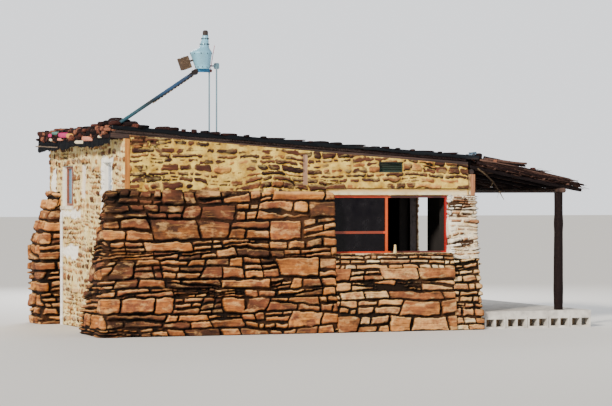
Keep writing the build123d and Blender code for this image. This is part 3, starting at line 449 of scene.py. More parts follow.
# Weather, used by most finishes: broad stains, blotches as big as a hand, and fine grit
weather = bpy.data.node_groups.new("weather", "ShaderNodeTree")
weather.interface.new_socket("Size", in_out="INPUT", socket_type="NodeSocketFloat")
for socket_name in ("Broad", "Blotch", "Grit", "Height"):
    weather.interface.new_socket(socket_name, in_out="OUTPUT", socket_type="NodeSocketFloat")
weather_in = weather.nodes.new("NodeGroupInput")
weather_out = weather.nodes.new("NodeGroupOutput")
weather_place = add(weather, "ShaderNodeTexCoord").outputs["Object"]
weather_scaled = add(weather, "ShaderNodeVectorMath", {0: weather_place}, operation="SCALE")
weather.links.new(weather_in.outputs[0], weather_scaled.inputs["Scale"])
for socket_name, scale, detail, rise in (("Broad", 0.9, 4.0, 0.55), ("Blotch", 7.0, 5.0, 0.55),
                                         ("Grit", 60.0, 3.0, 0.55), ("Height", 22.0, 8.0, 0.70)):
    weather.links.new(noise(weather, weather_scaled.outputs[0], scale, detail, rise),
                      weather_out.inputs[socket_name])


def weathered(tree):
    """Outputs of the weather group: Broad, Blotch, Grit and Height."""
    return add(tree, "ShaderNodeGroup", {0: 1.0}, node_tree=weather).outputs


def stone_finish(name, colours, mortar_dark, mortar_light, hollow_colour, contrast=1.0,
                 dust=(0.86, 0.50, 0.20)):
    """Sandstone: a colour for each stone, bands across it, stains and grit; mortar over it
    where the mesh says so; pale dust and a painted highlight on what faces up, painted shade on
    what faces down, and painted shade mixed with brown earth in the joints."""
    material, tree, shader, place = new_material(name)
    out = weathered(tree)
    tone = value_of(tree, "tone")
    shifted = maths(tree, "ADD", tone, remap(tree, out["Blotch"], 0.3, 0.7, -0.17, 0.17))
    stone = colour_ramp(tree, shifted, colours)
    layers = noise(tree, place, 2.2, 5.0, 0.65, (1.0, 1.0, 16.0))
    stone = stain(tree, stone, layers, 0.51, 0.64, 0.72 * contrast, (0.045, 0.016, 0.009))
    stone = mix_colour(tree, remap(tree, layers, 0.32, 0.44, 0.50 * contrast, 0.0), stone,
                       (0.80, 0.38, 0.10))
    rosy = remap(tree, noise(tree, place, 1.7, 2.0, 0.5, (1.0, 1.0, 2.4)), 0.44, 0.58)
    stone = mix_colour(tree, maths(tree, "MULTIPLY", rosy, 0.26 * contrast), stone,
                       (0.44, 0.130, 0.060))
    bleached = noise(tree, place, 3.4, 6.0, 0.62, (1.0, 1.0, 2.2))
    stone = stain(tree, stone, bleached, 0.53, 0.66, 0.60 * contrast, dust)
    stone = stain(tree, stone, out["Grit"], 0.50, 0.75, 0.35, (0.10, 0.045, 0.022))
    mortar = stain(tree, mortar_dark, out["Blotch"], 0.35, 0.65, 1.0, mortar_light)
    mortar = stain(tree, mortar, out["Grit"], 0.45, 0.8, 0.35, (0.20, 0.10, 0.04))
    colour = mix_colour(tree, value_of(tree, "cover"), stone, mortar)
    colour = stain(tree, colour, out["Broad"], 0.35, 0.70, 0.22, (0.16, 0.08, 0.035))
    # Faces that look up go towards the pale dust colour: partly real dust, partly a painted
    # highlight from light above.
    normal = add(tree, "ShaderNodeNewGeometry").outputs["Normal"]
    facing = add(tree, "ShaderNodeSeparateXYZ", {0: normal}).outputs["Z"]
    dust_and_highlight = maths(tree, "MULTIPLY", remap(tree, facing, 0.25, 0.85, 0.0, 0.60 * contrast),
                  remap(tree, tone, 0.10, 0.45))
    colour = mix_colour(tree, dust_and_highlight, colour, dust)
    # Painted shade: faces that look down go towards near-black.
    colour = stain(tree, colour, facing, -0.10, -0.65, 0.85, (0.014, 0.006, 0.004))
    colour = mix_colour(tree, value_of(tree, "limed"), colour, (0.90, 0.87, 0.78))
    # Painted shade in the joints: stone within a centimetre of a joint goes to the near-black
    # hollow colour, in patches mixed with brown earth.
    joint_shade_and_earth = stain(tree, hollow_colour, noise(tree, place, 2.6, 3.0, 0.6), 0.48, 0.66, 0.60,
                  (0.085, 0.033, 0.013))
    colour = stain(tree, colour, value_of(tree, "hollow"), 0.15, 0.85, 0.99, joint_shade_and_earth)
    finish_shader(tree, shader, colour, remap(tree, out["Grit"], 0.3, 0.7, 0.82, 0.97),
                  out["Height"], 0.012, 0.7)
    shader.inputs["Specular IOR Level"].default_value = 0.18
    return material


lower_finish = stone_finish("lower_stone", stone_colours, (0.30, 0.15, 0.05), (0.52, 0.30, 0.11),
                            (0.003, 0.0015, 0.001))
corner_out_base, corner_out_top = left - 0.45, left - 0.26
buttress_back_base, buttress_back_top = front + 1.0, front + 0.12


def lower_tone(grid, shade):
    """Darker stones to the left, and painted shade that turns the stones at the top left nearly
    black.
    """
    shade = shade * 0.84 + 0.18 * np.clip((grid[..., 0] - left) / 4.0, 0, 1)
    # Painted shade over the top left of the lower wall.
    high = np.clip((grid[..., 2] - 1.62) / 0.20, 0, 1)
    painted_top_left_shade = high * np.clip((-0.90 - grid[..., 0]) / 0.60, 0, 1)
    return shade * (1 - 0.80 * painted_top_left_shade)


wall_skin(
    "front_stones_left",
    [
        [(left, buttress_back_base, 0), (corner_out_base, buttress_back_base, 0),
         (corner_out_base, ground_face, 0), (window_left, ground_face, 0),
         (window_left, jamb_back, 0)],
        [(left, buttress_back_top, ledge_height), (corner_out_top, buttress_back_top, ledge_height),
         (corner_out_top, ledge_face, ledge_height), (window_left, ledge_face, ledge_height),
         (window_left, jamb_back, ledge_height)],
        [(left, buttress_back_top, ledge_height), (left, buttress_back_top, ledge_height),
         (left, front, ledge_height), (window_left - 0.05, front, ledge_height),
         (window_left - 0.05, jamb_back, ledge_height)],
    ],
    0.0135, lower_finish, "lower_stone", 11, 0.085, (0.13, 0.34), (0.34, 0.95), (0.60, 0.45),
    joint=0.026, sway=0.050, ease=0.02, backing=0.012, tone_field=lower_tone, voids=0.015,
    flat_side=(1, 0, 0))

# Courses under the front window: paler and pinker stones, some large and square, and above
# them a row of thin flat ones, whitish and brown, that carries the steel frame.
pale_colours = (
    (0.00, (0.040, 0.015, 0.009)),
    (0.20, (0.240, 0.082, 0.026)),
    (0.40, (0.520, 0.210, 0.056)),
    (0.58, (0.660, 0.340, 0.130)),
    (0.74, (0.300, 0.115, 0.050)),
    (0.88, (0.740, 0.440, 0.190)),
    (1.00, (0.900, 0.760, 0.480)),
)
pale_finish = stone_finish("pale_stone", pale_colours, (0.34, 0.17, 0.06), (0.60, 0.36, 0.14),
                           (0.004, 0.002, 0.001), 0.9, (0.92, 0.62, 0.26))


def front_batter(z):
    """Face of the lower front wall at a height: it leans back from the ground to the ledge."""
    return ground_face + (ledge_face - ground_face) * z / ledge_height


big_top = window_sill - 0.24
wall_skin(
    "front_stones_under_window",
    [[(window_left, front_batter(z), z), (window_right, front_batter(z), z)] for z in (0, big_top)],
    0.012, pale_finish, "lower_stone", 23, 0.075, (0.14, 0.34), (0.34, 1.00), (0.50, 0.30),
    joint=0.028, sway=0.050, ease=0.02, backing=0.008, tone=(0.10, 0.94), voids=0.028)
wall_skin(
    "window_sill_stones",
    [[(window_left, y, z), (window_right, y, z)]
     for y, z in ((front_batter(big_top), big_top), (front_batter(window_sill), window_sill),
                  (jamb_back, window_sill))],
    0.010, pale_finish, "lower_stone", 27, 0.062, (0.060, 0.105), (0.20, 0.62), (0.20, 0.0),
    joint=0.018, sway=0.030, ease=0.015, backing=0.006, tone=(0.20, 1.25), voids=0.020,
    flat_side=(0, 0, 1))

# Pier to the right of the window: thin whitish and brown courses touched up with white
# mortar, on tan stones like those under the window. It leans back from the ground to the
# ledge, and goes round the right corner.
pier_colours = (
    (0.00, (0.030, 0.012, 0.008)),
    (0.18, (0.130, 0.048, 0.020)),
    (0.38, (0.340, 0.140, 0.052)),
    (0.54, (0.560, 0.270, 0.110)),
    (0.70, (0.840, 0.700, 0.460)),
    (1.00, (0.930, 0.890, 0.780)),
)
pier_finish = stone_finish("pier_stone", pier_colours, (0.70, 0.50, 0.24), (0.96, 0.90, 0.72),
                           (0.050, 0.022, 0.009), 0.8, (0.95, 0.86, 0.64))


def pier_tone(grid, shade):
    """Whitish stones with some brown ones, and brown ones close under the ledge."""
    cap = np.clip((grid[..., 2] - 2.09) / 0.02, 0, 1)
    return (0.34 + 0.70 * shade) * (1 - cap) + 0.30 * cap


pier_jamb = ((window_right - 0.02, front - 0.60, 1.26), (window_right + 0.055, front + 0.10, 2.26))


def pier_rail(z):
    """Plan of the pier at a height, from the window jamb round to the right end."""
    face = ground_face + (front - ground_face) * z / ledge_height
    return [(window_right, jamb_back, z), (window_right, face, z), (right, face, z),
            (right, front + 0.02, z)]


pier_foot = 1.17
wall_skin(
    "pier_foot_stones", [pier_rail(0), pier_rail(pier_foot)],
    0.0095, pale_finish, "lower_stone", 33, 0.066, (0.065, 0.150), (0.16, 0.50), (0.15, 0.0),
    joint=0.022, sway=0.040, ease=0.03, tone=(0.25, 1.05), voids=0.018, flat_side=(-1, 0, 0),
    blunt=0.20, dome=0.7, ragged=1.3)
wall_skin(
    "pier_stones", [pier_rail(pier_foot), pier_rail(ledge_height)],
    0.0095, pier_finish, "pier_stone", 31, 0.062, (0.055, 0.105), (0.12, 0.55), (0.10, 0.0),
    joint=0.024, sway=0.045, ease=0.03, mortar=(0.0085, 0.018, 0.006, 0.006), tone_field=pier_tone,
    voids=0.018, flat_side=(-1, 0, 0), wash=(pier_jamb,), blunt=0.30, dome=0.8, ragged=1.3)

# Upper front wall: flat stones in courses, smeared over with ochre mortar, so that only their
# faces show, near-black: their own dark brown and painted shade. It stands on the ledge, laps
# over the face of the wall plate, and goes round the vent, the lintel and the timbers let into it.
wall_height = 3.14
roof_pitch = math.radians(4.0)
roof_fall = math.tan(roof_pitch)
# Near-black stops: the stones' own dark brown, with painted shade.
upper_colours_with_shade = (
    (0.00, (0.010, 0.004, 0.006)),
    (0.34, (0.036, 0.012, 0.012)),
    (0.60, (0.076, 0.025, 0.016)),
    (0.76, (0.190, 0.070, 0.024)),
    (0.90, (0.460, 0.180, 0.050)),
    (1.00, (0.640, 0.330, 0.075)),
)
upper_finish = stone_finish("upper_stone", upper_colours_with_shade, (0.47, 0.260, 0.032),
                            (0.90, 0.66, 0.160), (0.012, 0.005, 0.002), 0.5, (0.95, 0.76, 0.28))


def wall_top(x):
    """Height of the front and rear walls at x: they fall with the roof."""
    return wall_height - (x - left) * roof_fall


plank_right = left + 0.075
post_middle, post_half = 0.004, 0.0425
post_left, post_right = post_middle - post_half, post_middle + post_half
post_low, post_high = ledge_height + 0.17, wall_top(post_right) - 0.014
lintel_left, lintel_top = window_left - 0.09, ledge_height + 0.11
vent_x, vent_half, vent_tall = 1.53, 0.22, 0.09
vent_z = wall_top(vent_x) - 0.12
vent_left, vent_right = vent_x - vent_half, vent_x + vent_half
step_x = right - 0.13
upper_columns = [plank_right, post_left, post_right, lintel_left, vent_left, vent_right, step_x]
upper_rails = [
    [ledge_height] * 7,
    [post_low] * 3 + [lintel_top] * 4,
    [2.70, 2.66, 2.66, 2.60, vent_z - vent_tall, vent_z - vent_tall, 2.54],
    [2.98, post_high, post_high, 2.84, vent_z + vent_tall, vent_z + vent_tall, 2.66],
    [wall_top(x) + 0.060 - 0.006 * (x - left) for x in upper_columns],
]
wall_skin(
    "front_stones_upper",
    [[(x, front, z) for x, z in zip(upper_columns, rail)] for rail in upper_rails],
    0.0095, upper_finish, "upper_stone", 47, 0.044, (0.066, 0.130), (0.18, 0.70), (0.06, 0.0),
    joint=0.020, sway=0.060, ease=0.0, mortar=(0.0157, 0.017, 0.007, 0.004), tone=(0.0, 0.94),
    holes=((1, 3, 1, 2), (0, 1, 3, 6), (2, 3, 4, 5)), hole_depth=0.02, skirt=0.02,
    blunt=0.50, dome=1.1, ragged=2.4)

# Left end wall: the same flat stones and mortar, between the ground and the roof, round the
# two windows and the boarded slot.
end_colours = (
    (0.00, (0.030, 0.012, 0.006)),
    (0.25, (0.110, 0.044, 0.018)),
    (0.50, (0.300, 0.130, 0.045)),
    (0.75, (0.560, 0.300, 0.100)),
    (1.00, (0.780, 0.520, 0.240)),
)
end_finish = stone_finish("end_wall_stone", end_colours, (0.70, 0.50, 0.16), (0.96, 0.83, 0.46),
                          (0.016, 0.008, 0.004), 0.6, (0.96, 0.86, 0.56))
slot_south, slot_north = -0.06, 0.20
near_south, near_north, near_low, near_high = -1.60, -1.10, 2.01, 2.77
far_south, far_north, far_low, far_high = 0.75, 1.50, 2.05, 2.74
end_columns = [rear + 0.02, far_north, far_south, slot_north, slot_south, near_north, near_south,
               front + 0.004]
end_rails = [
    [0.0] * 8,
    [1.9] * 8,
    [far_low, far_low, far_low, 2.19, 2.19, near_low, near_low, near_low],
    [far_high, far_high, far_high, 2.76, 2.76, near_high, near_high, near_high],
    [wall_height + 0.06] * 8,
]
wall_skin(
    "left_end_stones",
    [[(left, y, z) for y, z in zip(end_columns, rail)] for rail in end_rails],
    0.0155, end_finish, "upper_stone", 59, 0.042, (0.07, 0.13), (0.10, 0.36), (0.10, 0.0),
    joint=0.020, sway=0.045, ease=0.0, mortar=(0.0215, 0.012, 0.006, 0.004), blunt=0.45, dome=1.0,
    ragged=1.7,
    holes=((2, 3, 1, 2), (2, 3, 3, 4), (2, 3, 5, 6)), skirt=0.03,
    wash=(((left - 0.3, 1.86, 2.05), (left + 0.3, 2.16, 2.68)),
          ((left - 0.3, near_south - 0.10, 1.84), (left + 0.3, near_north + 0.10, 2.84)),
          ((left - 0.3, 0.30, 1.86), (left + 0.3, 2.00, 1.98)),
          ((left - 0.3, 0.44, 1.17), (left + 0.3, 2.30, 1.36))), sleeve=(1.0, 0.0, 1.0))

# Rear wall: lower courses laid nearly dry, mortared higher up, round one window.
rear_left, rear_right, rear_low, rear_high = -1.15, -0.65, 2.01, 2.77
rear_columns = [step_x, rear_right, rear_left, left - 0.02]
rear_rails = [
    [0.0] * 4,
    [rear_low - 0.25] * 4,
    [2.0, rear_low, rear_low, 2.05],
    [wall_top(step_x) - 0.10, rear_high, rear_high, 2.90],
    [wall_top(x) for x in rear_columns],
]
wall_skin(
    "rear_stones",
    [[(x, rear, z) for x, z in zip(rear_columns, rail)] for rail in rear_rails],
    0.0175, end_finish, "upper_stone", 67, 0.040, (0.09, 0.20), (0.20, 0.60), (0.35, 0.1),
    joint=0.020, sway=0.025, ease=0.0, mortar=(0.020, 0.014, 0.004, 0.008),
    holes=((2, 3, 1, 2),), skirt=0.03)

# Right end wall under the verandah: the pier's pale stones, up to the seat of the ledger,
# round the doorway and the window beside it, whose reveals are painted dark as shade.
floor_level, ledger_seat = 0.29, wall_top(right) - 0.123
door_south, door_north, door_head = -1.12, 0.11, 2.30
light_south, light_north, light_low = 0.34, 1.34, 1.27
right_columns = [front + 0.09, front + 0.30, door_south, door_north, light_south, light_north,
                 rear + 0.02]
right_rails = [[z] * 7 for z in (floor_level, light_low, door_head, ledger_seat)]
wall_skin(
    "right_end_stones",
    [[(right - (0.05 if y < front + 0.1 else 0.0), y, z) for y, z in zip(right_columns, rail)]
     for rail in right_rails],
    0.015, pier_finish, "pier_stone", 71, 0.036, (0.08, 0.17), (0.20, 0.52), (0.30, 0.1),
    joint=0.020, sway=0.022, ease=0.0, mortar=(0.018, 0.012, 0.004, 0.006),
    # The sleeve's high hollow share paints the reveals dark as shade.
    holes=((0, 2, 2, 3), (1, 2, 4, 5)), skirt=0.03, sleeve=(0.2, 0.85, 0.0))

# Stepped buttress at the left rear corner: big loose stones up to a knee, then sloping back.
knee, buttress_top, buttress_south = 1.39, 2.29, rear - 0.70
wall_skin(
    "rear_buttress_stones",
    [
        [(left, rear, z), (left - out, rear, z), (left - out, buttress_south, z),
         (left, buttress_south, z)]
        for z, out in ((0.0, 0.35), (knee, 0.35), (buttress_top, 0.03))
    ],
    0.0135, lower_finish, "lower_stone", 83, 0.085, (0.14, 0.30), (0.26, 0.55), (0.45, 0.2),
    joint=0.028, sway=0.050, ease=0.02, backing=0.012, voids=0.030)

# Body of the walls behind the stones: rubble in earth mortar. It shows at the bottom of the
# joints and in the reveals, and inside, where it is daubed with mud, near-black as painted shade.
def shade_by(tree, place, axis, low, high):
    """Share from 0 to 1 along an axis of the object, between two places."""
    parts = add(tree, "ShaderNodeSeparateXYZ", {0: place})
    return remap(tree, parts.outputs[axis], low, high)


def within(tree, place, axis, near, far):
    """1 between two borders on an axis. A border is given by where it is 0 and where it is 1."""
    return maths(tree, "MULTIPLY", shade_by(tree, place, axis, *near),
                 shade_by(tree, place, axis, *far))


def dress(material, *names):
    """Gives CAD nodes their finish."""
    for name in names:
        for slot in nodes[name].material_slots:
            slot.material = material


def darker(colour):
    """A colour at a third of its brightness."""
    return tuple(0.35 * part for part in colour)


def daub_finish(name, dark, light, inner):
    """Earth mortar with stones in it outside, and daub inside the room, near-black as painted
    shade.
    """
    material, tree, shader, place = new_material(name)
    out = weathered(tree)
    cells = add(tree, "ShaderNodeTexVoronoi", {"Vector": place, "Scale": 7.0}, feature="F1")
    colour = stain(tree, dark, out["Blotch"], 0.35, 0.65, 1.0, light)
    stony = remap(tree, cells.outputs["Distance"], 0.25, 0.45, 0.5, 0.0)
    colour = mix_colour(tree, stony, colour, (0.16, 0.07, 0.03))
    # Painted shade: inside a box round the room, which reaches into the front and right reveals,
    # the daub goes near-black.
    inside = maths(
        tree, "MULTIPLY",
        within(tree, place, 0, (left + 0.20, left + 0.30), (right - 0.02, right - 0.07)),
        within(tree, place, 1, (front + 0.03, front + 0.06), (rear - 0.20, rear - 0.30)))
    painted_room_shade = stain(tree, inner, out["Broad"], 0.35, 0.7, 1.0, darker(inner))
    colour = mix_colour(tree, inside, colour, painted_room_shade)
    finish_shader(tree, shader, colour, 0.92, out["Height"], 0.010, 0.6)
    return material


# The last colour is the near-black painted shade inside the room.
dress(daub_finish("wall_daub", (0.24, 0.13, 0.05), (0.56, 0.37, 0.16), (0.014, 0.010, 0.009)),
      "front_wall_left", "front_wall_under_window", "front_wall_pier", "front_wall_upper",
      "rear_wall", "left_wall", "right_wall_front", "right_wall_over_door", "right_wall_rear",
      "front_buttress", "rear_buttress")


# Cast concrete: the lintel over the window, floor slabs, threshold and the far window's sill,
# rubbed down, water-stained and pitted, and the fill below the floors.
def concrete_finish(name, dark, light, stained, smear):
    """Concrete: cloudy grey with stains, sand and small holes, and mortar smeared over what
    lies above a height."""
    material, tree, shader, place = new_material(name)
    out = weathered(tree)
    colour = stain(tree, dark, out["Blotch"], 0.35, 0.65, 1.0, light)
    if smear:
        height, mortar = smear
        smeared = maths(tree, "ADD", shade_by(tree, place, 2, height - 0.03, height + 0.03),
                        remap(tree, out["Blotch"], 0.3, 0.7, -0.4, 0.4))
        colour = mix_colour(tree, smeared, colour, mortar)
    colour = stain(tree, colour, out["Broad"], 0.50, 0.72, 0.6, stained)
    colour = stain(tree, colour, out["Grit"], 0.60, 0.75, 0.5, (0.10, 0.08, 0.06))
    finish_shader(tree, shader, colour, remap(tree, out["Grit"], 0.3, 0.7, 0.75, 0.95),
                  out["Height"], 0.006, 0.6)
    return material


for name, dark, light, stained, smear, dressed in (
    ("lintel_render", (0.62, 0.50, 0.28), (0.92, 0.84, 0.60), (0.40, 0.24, 0.09),
     (ledge_height + 0.060, (0.62, 0.38, 0.10)), ("window_lintel",)),
    ("sill_concrete", (0.60, 0.52, 0.38), (0.84, 0.78, 0.64), (0.34, 0.24, 0.14), None,
     ("far_window_sill",)),
    ("slab_concrete", (0.42, 0.40, 0.37), (0.66, 0.63, 0.58), (0.26, 0.20, 0.15), None,
     ("floor_slab", "threshold", "verandah_floor", "verandah_blocks")),
    ("ground_fill", (0.26, 0.17, 0.10), (0.42, 0.30, 0.19), (0.14, 0.09, 0.05), None,
     ("floor_fill", "verandah_fill")),
):
    dress(concrete_finish(name, dark, light, stained, smear), *dressed)


# Timber: an old plank at the left corner, a door post left standing in the upper wall, a short
# post under the ledger, split and bleached orange-brown, the boards in the slot, and the dark
# plates, poles and beams of the roofs.
timber_stops = (0.25, 0.45, 0.62, 0.80)


def timber_finish(name, grain, *colours):
    """Weathered timber of four colours: fibres drawn out along the axis of its grain, cracks
    and grey patches."""
    material, tree, shader, place = new_material(name)
    out = weathered(tree)
    stretch = tuple(0.045 if axis == grain else 1.0 for axis in range(3))
    fibre = noise(tree, place, 55.0, 6.0, 0.65, stretch)
    plank = noise(tree, place, 9.0, 3.0, 0.5, stretch)
    shifted = maths(tree, "ADD", fibre, remap(tree, plank, 0.3, 0.7, -0.2, 0.2))
    colour = colour_ramp(tree, shifted, list(zip(timber_stops, colours)))
    colour = stain(tree, colour, fibre, 0.60, 0.68, 0.8, (0.05, 0.022, 0.010))
    colour = stain(tree, colour, out["Broad"], 0.45, 0.7, 0.35, darker(colours[0]))
    finish_shader(tree, shader, colour, remap(tree, fibre, 0.3, 0.7, 0.7, 0.95), fibre, 0.004, 0.8)
    return material


for name, grain, colours, dressed in (
    ("orange_timber", 2, ((0.120, 0.040, 0.010), (0.380, 0.135, 0.022), (0.520, 0.215, 0.040),
                          (0.220, 0.080, 0.020)), ("corner_plank",)),
    ("salmon_timber", 2, ((0.110, 0.045, 0.022), (0.330, 0.135, 0.060), (0.450, 0.200, 0.095),
                          (0.200, 0.085, 0.045)), ("corner_post",)),
    ("post_timber", 2, ((0.090, 0.050, 0.032), (0.260, 0.150, 0.095), (0.420, 0.260, 0.170),
                        (0.180, 0.100, 0.070)), ("joint_post",)),
    ("slot_boards", 2, ((0.110, 0.035, 0.020), (0.260, 0.090, 0.050), (0.380, 0.150, 0.085),
                        (0.200, 0.075, 0.045)), ("slot_shutter",)),
    ("dark_timber", 0, ((0.012, 0.006, 0.006), (0.034, 0.017, 0.014), (0.080, 0.042, 0.032),
                        (0.026, 0.013, 0.012)), ("wall_plates", "verandah_ledger",
                                                 "verandah_beam")),
    ("pole_timber", 1, ((0.060, 0.034, 0.020), (0.140, 0.085, 0.050), (0.230, 0.155, 0.100),
                        (0.100, 0.060, 0.038)), ("roof_poles",)),
):
    dress(timber_finish(name, grain, *colours), *dressed)

# Wedge of pale wood standing on the sill at the foot of the mullion
wedge_x, wedge_y, wedge_rows = 1.548, front - 0.120, 14
climb = np.linspace(0, 1, wedge_rows)[:, None, None]
wedge_corners = np.array([(-1, -1), (1, -1), (1, 1), (-1, 1)])
wedge_plan = wedge_corners[None] * (np.array([0.026, 0.020]) * (1 - 0.45 * climb))
wedge_points = np.concatenate([
    wedge_plan + np.array([wedge_x, wedge_y]) + 0.004 * climb,
    np.broadcast_to(window_sill + 0.002 + 0.150 * climb, (wedge_rows, 4, 1))], axis=2)
wedge_points = wedge_points + 0.002 * rough(wedge_points, 0.03, 29)[..., None]
make_piece("sill_wedge", wedge_points, ring_faces(np.arange(4 * wedge_rows).reshape(-1, 4)),
           timber_finish("wedge_wood", 2, (0.420, 0.270, 0.090), (0.700, 0.500, 0.200),
                         (0.860, 0.680, 0.340), (0.560, 0.370, 0.130)), "grey_timber")


# Steel frame of the front window, painted bright orange-red on the left light, crimson at
# the right stile and dark red-brown between, chipped down to rust, and the other old paint.
def paint_finish(name, paint, rust, chips, metal=0.0, gloss=0.45):
    """Old paint: a colour, or a function that makes one, faded in blotches and chipped to rust."""
    material, tree, shader, place = new_material(name)
    colour = paint(tree, place) if callable(paint) else paint
    out = weathered(tree)
    colour = stain(tree, colour, out["Blotch"], 0.3, 0.7, 0.30, (0.10, 0.05, 0.03))
    chip = remap(tree, noise(tree, place, 26.0, 7.0, 0.7), chips, chips + 0.03)
    colour = mix_colour(tree, chip, colour, rust)
    finish_shader(tree, shader, colour, remap(tree, chip, 0.0, 1.0, gloss, 0.85), out["Height"],
                  0.003, 0.4)
    shader.inputs["Metallic"].default_value = metal
    return material


transom_height = 1.625


def window_paint(tree, place):
    """Orange-red up to the mullion, dark red-brown beyond it, and crimson at the right stile."""
    along = shade_by(tree, place, 0, window_left, window_right)
    transom = within(tree, place, 2, (transom_height - 0.05, transom_height - 0.04),
                     (transom_height + 0.05, transom_height + 0.04))
    transom = maths(tree, "MULTIPLY", transom,
                    shade_by(tree, place, 0, window_left + 0.945, window_left + 0.935))
    painted = colour_ramp(tree, along, (
        (0.00, (0.56, 0.020, 0.006)), (0.03, (0.64, 0.044, 0.001)), (0.45, (0.62, 0.042, 0.001)),
        (0.47, (0.66, 0.082, 0.001)), (0.50, (0.66, 0.070, 0.001)), (0.515, (0.090, 0.010, 0.006)),
        (0.94, (0.090, 0.008, 0.006)), (0.965, (0.34, 0.003, 0.004)), (1.00, (0.38, 0.003, 0.004))))
    return mix_colour(tree, transom, painted, (0.250, 0.030, 0.008))


for name, paint, rust, chips, dressed in (
    ("window_steel", window_paint, (0.13, 0.045, 0.020), 0.63, ("front_window_frame",)),
    ("side_steel", (0.20, 0.050, 0.022), (0.10, 0.040, 0.020), 0.58, ("side_window_frame",)),
    ("vent_steel", (0.018, 0.045, 0.038), (0.10, 0.045, 0.020), 0.62, ("vent_louvre",)),
    ("white_timber_paint", (0.74, 0.77, 0.78), (0.26, 0.19, 0.13), 0.60,
     ("near_window_frame", "rear_window_frame")),
    ("red_timber_paint", (0.28, 0.075, 0.045), (0.16, 0.10, 0.07), 0.55, ("far_window_frame",)),
    ("door_paint", (0.040, 0.014, 0.016), (0.030, 0.020, 0.016), 0.55, ("door_frame",)),
):
    dress(paint_finish(name, paint, rust, chips), *dressed)


def glass_finish(name, tint, through, dust):
    """Dusty window glass: tinted, partly clear, with rain-washed dirt in its roughness."""
    material, tree, shader, place = new_material(name)
    out = weathered(tree)
    colour = stain(tree, tint, out["Blotch"], 0.40, 0.75, 0.35, dust)
    finish_shader(tree, shader, colour, remap(tree, out["Blotch"], 0.35, 0.75, 0.05, 0.35))
    shader.inputs["Transmission Weight"].default_value = through
    shader.inputs["IOR"].default_value = 1.30
    return material


dress(glass_finish("dark_glass", (0.006, 0.004, 0.008), 0.55, (0.030, 0.026, 0.028)),
      "front_window_glass")
# Blue tint of the end and rear windows: a painted reflection of the sky.
dress(glass_finish("glass_painted_sky_reflection", (0.16, 0.34, 0.52), 0.30, (0.20, 0.18, 0.15)),
      "near_window_glass", "far_window_glass", "rear_window_glass")

# Dusty green pane of the window beside the door: it lets hardly any daylight through.
side_low, side_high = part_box("side_window_frame")
pane_edge, pane_steps = 0.012, 25
pane_y, pane_z = np.meshgrid(*(np.linspace(low + pane_edge, high - pane_edge, pane_steps)
                               for low, high in ((side_low.y, side_high.y),
                                                 (side_low.z, side_high.z))))
pane_x = side_low.x + 0.010 + 0.0006 * rough(np.stack([pane_y, pane_y, pane_z], axis=-1), 0.3, 61)
pane = np.stack([pane_x, pane_y, pane_z], axis=-1)
make_piece("side_window_pane", *two_faced(pane, pane - [0.004, 0, 0]),
           glass_finish("green_pane", (0.010, 0.020, 0.008), 0.10, (0.06, 0.07, 0.03)), "glass")


# Roof: old corrugated sheets nailed down the slope, rusted brown and black, with a bent
# flashing over the left edge.
def iron_finish(name, clean, rust_dark, rust_light, amount):
    """Galvanised sheet going to rust: streaks down the slope, blotches and dark edges."""
    material, tree, shader, place = new_material(name)
    out = weathered(tree)
    streak = noise(tree, place, 14.0, 5.0, 0.6, (0.08, 1.0, 1.0))
    rust = colour_ramp(tree, out["Blotch"], ((0.35, rust_dark), (0.60, rust_light)))
    rusty = remap(tree, maths(tree, "ADD", streak, out["Broad"]), 1.18 - amount, 1.28 - amount)
    colour = mix_colour(tree, rusty, clean, rust)
    finish_shader(tree, shader, colour, remap(tree, rusty, 0.0, 1.0, 0.45, 0.9), out["Height"],
                  0.004, 0.5)
    tree.links.new(remap(tree, rusty, 0.0, 1.0, 0.75, 0.05), shader.inputs["Metallic"])
    return material


dress(iron_finish("sheet_iron", (0.16, 0.17, 0.18), (0.030, 0.016, 0.010), (0.22, 0.085, 0.035),
                  0.34), "roof_sheets_under", "roof_sheets_over")
dress(iron_finish("flashing_iron", (0.020, 0.035, 0.040), (0.014, 0.014, 0.014),
                  (0.09, 0.045, 0.025), 0.10), "edge_flashing")


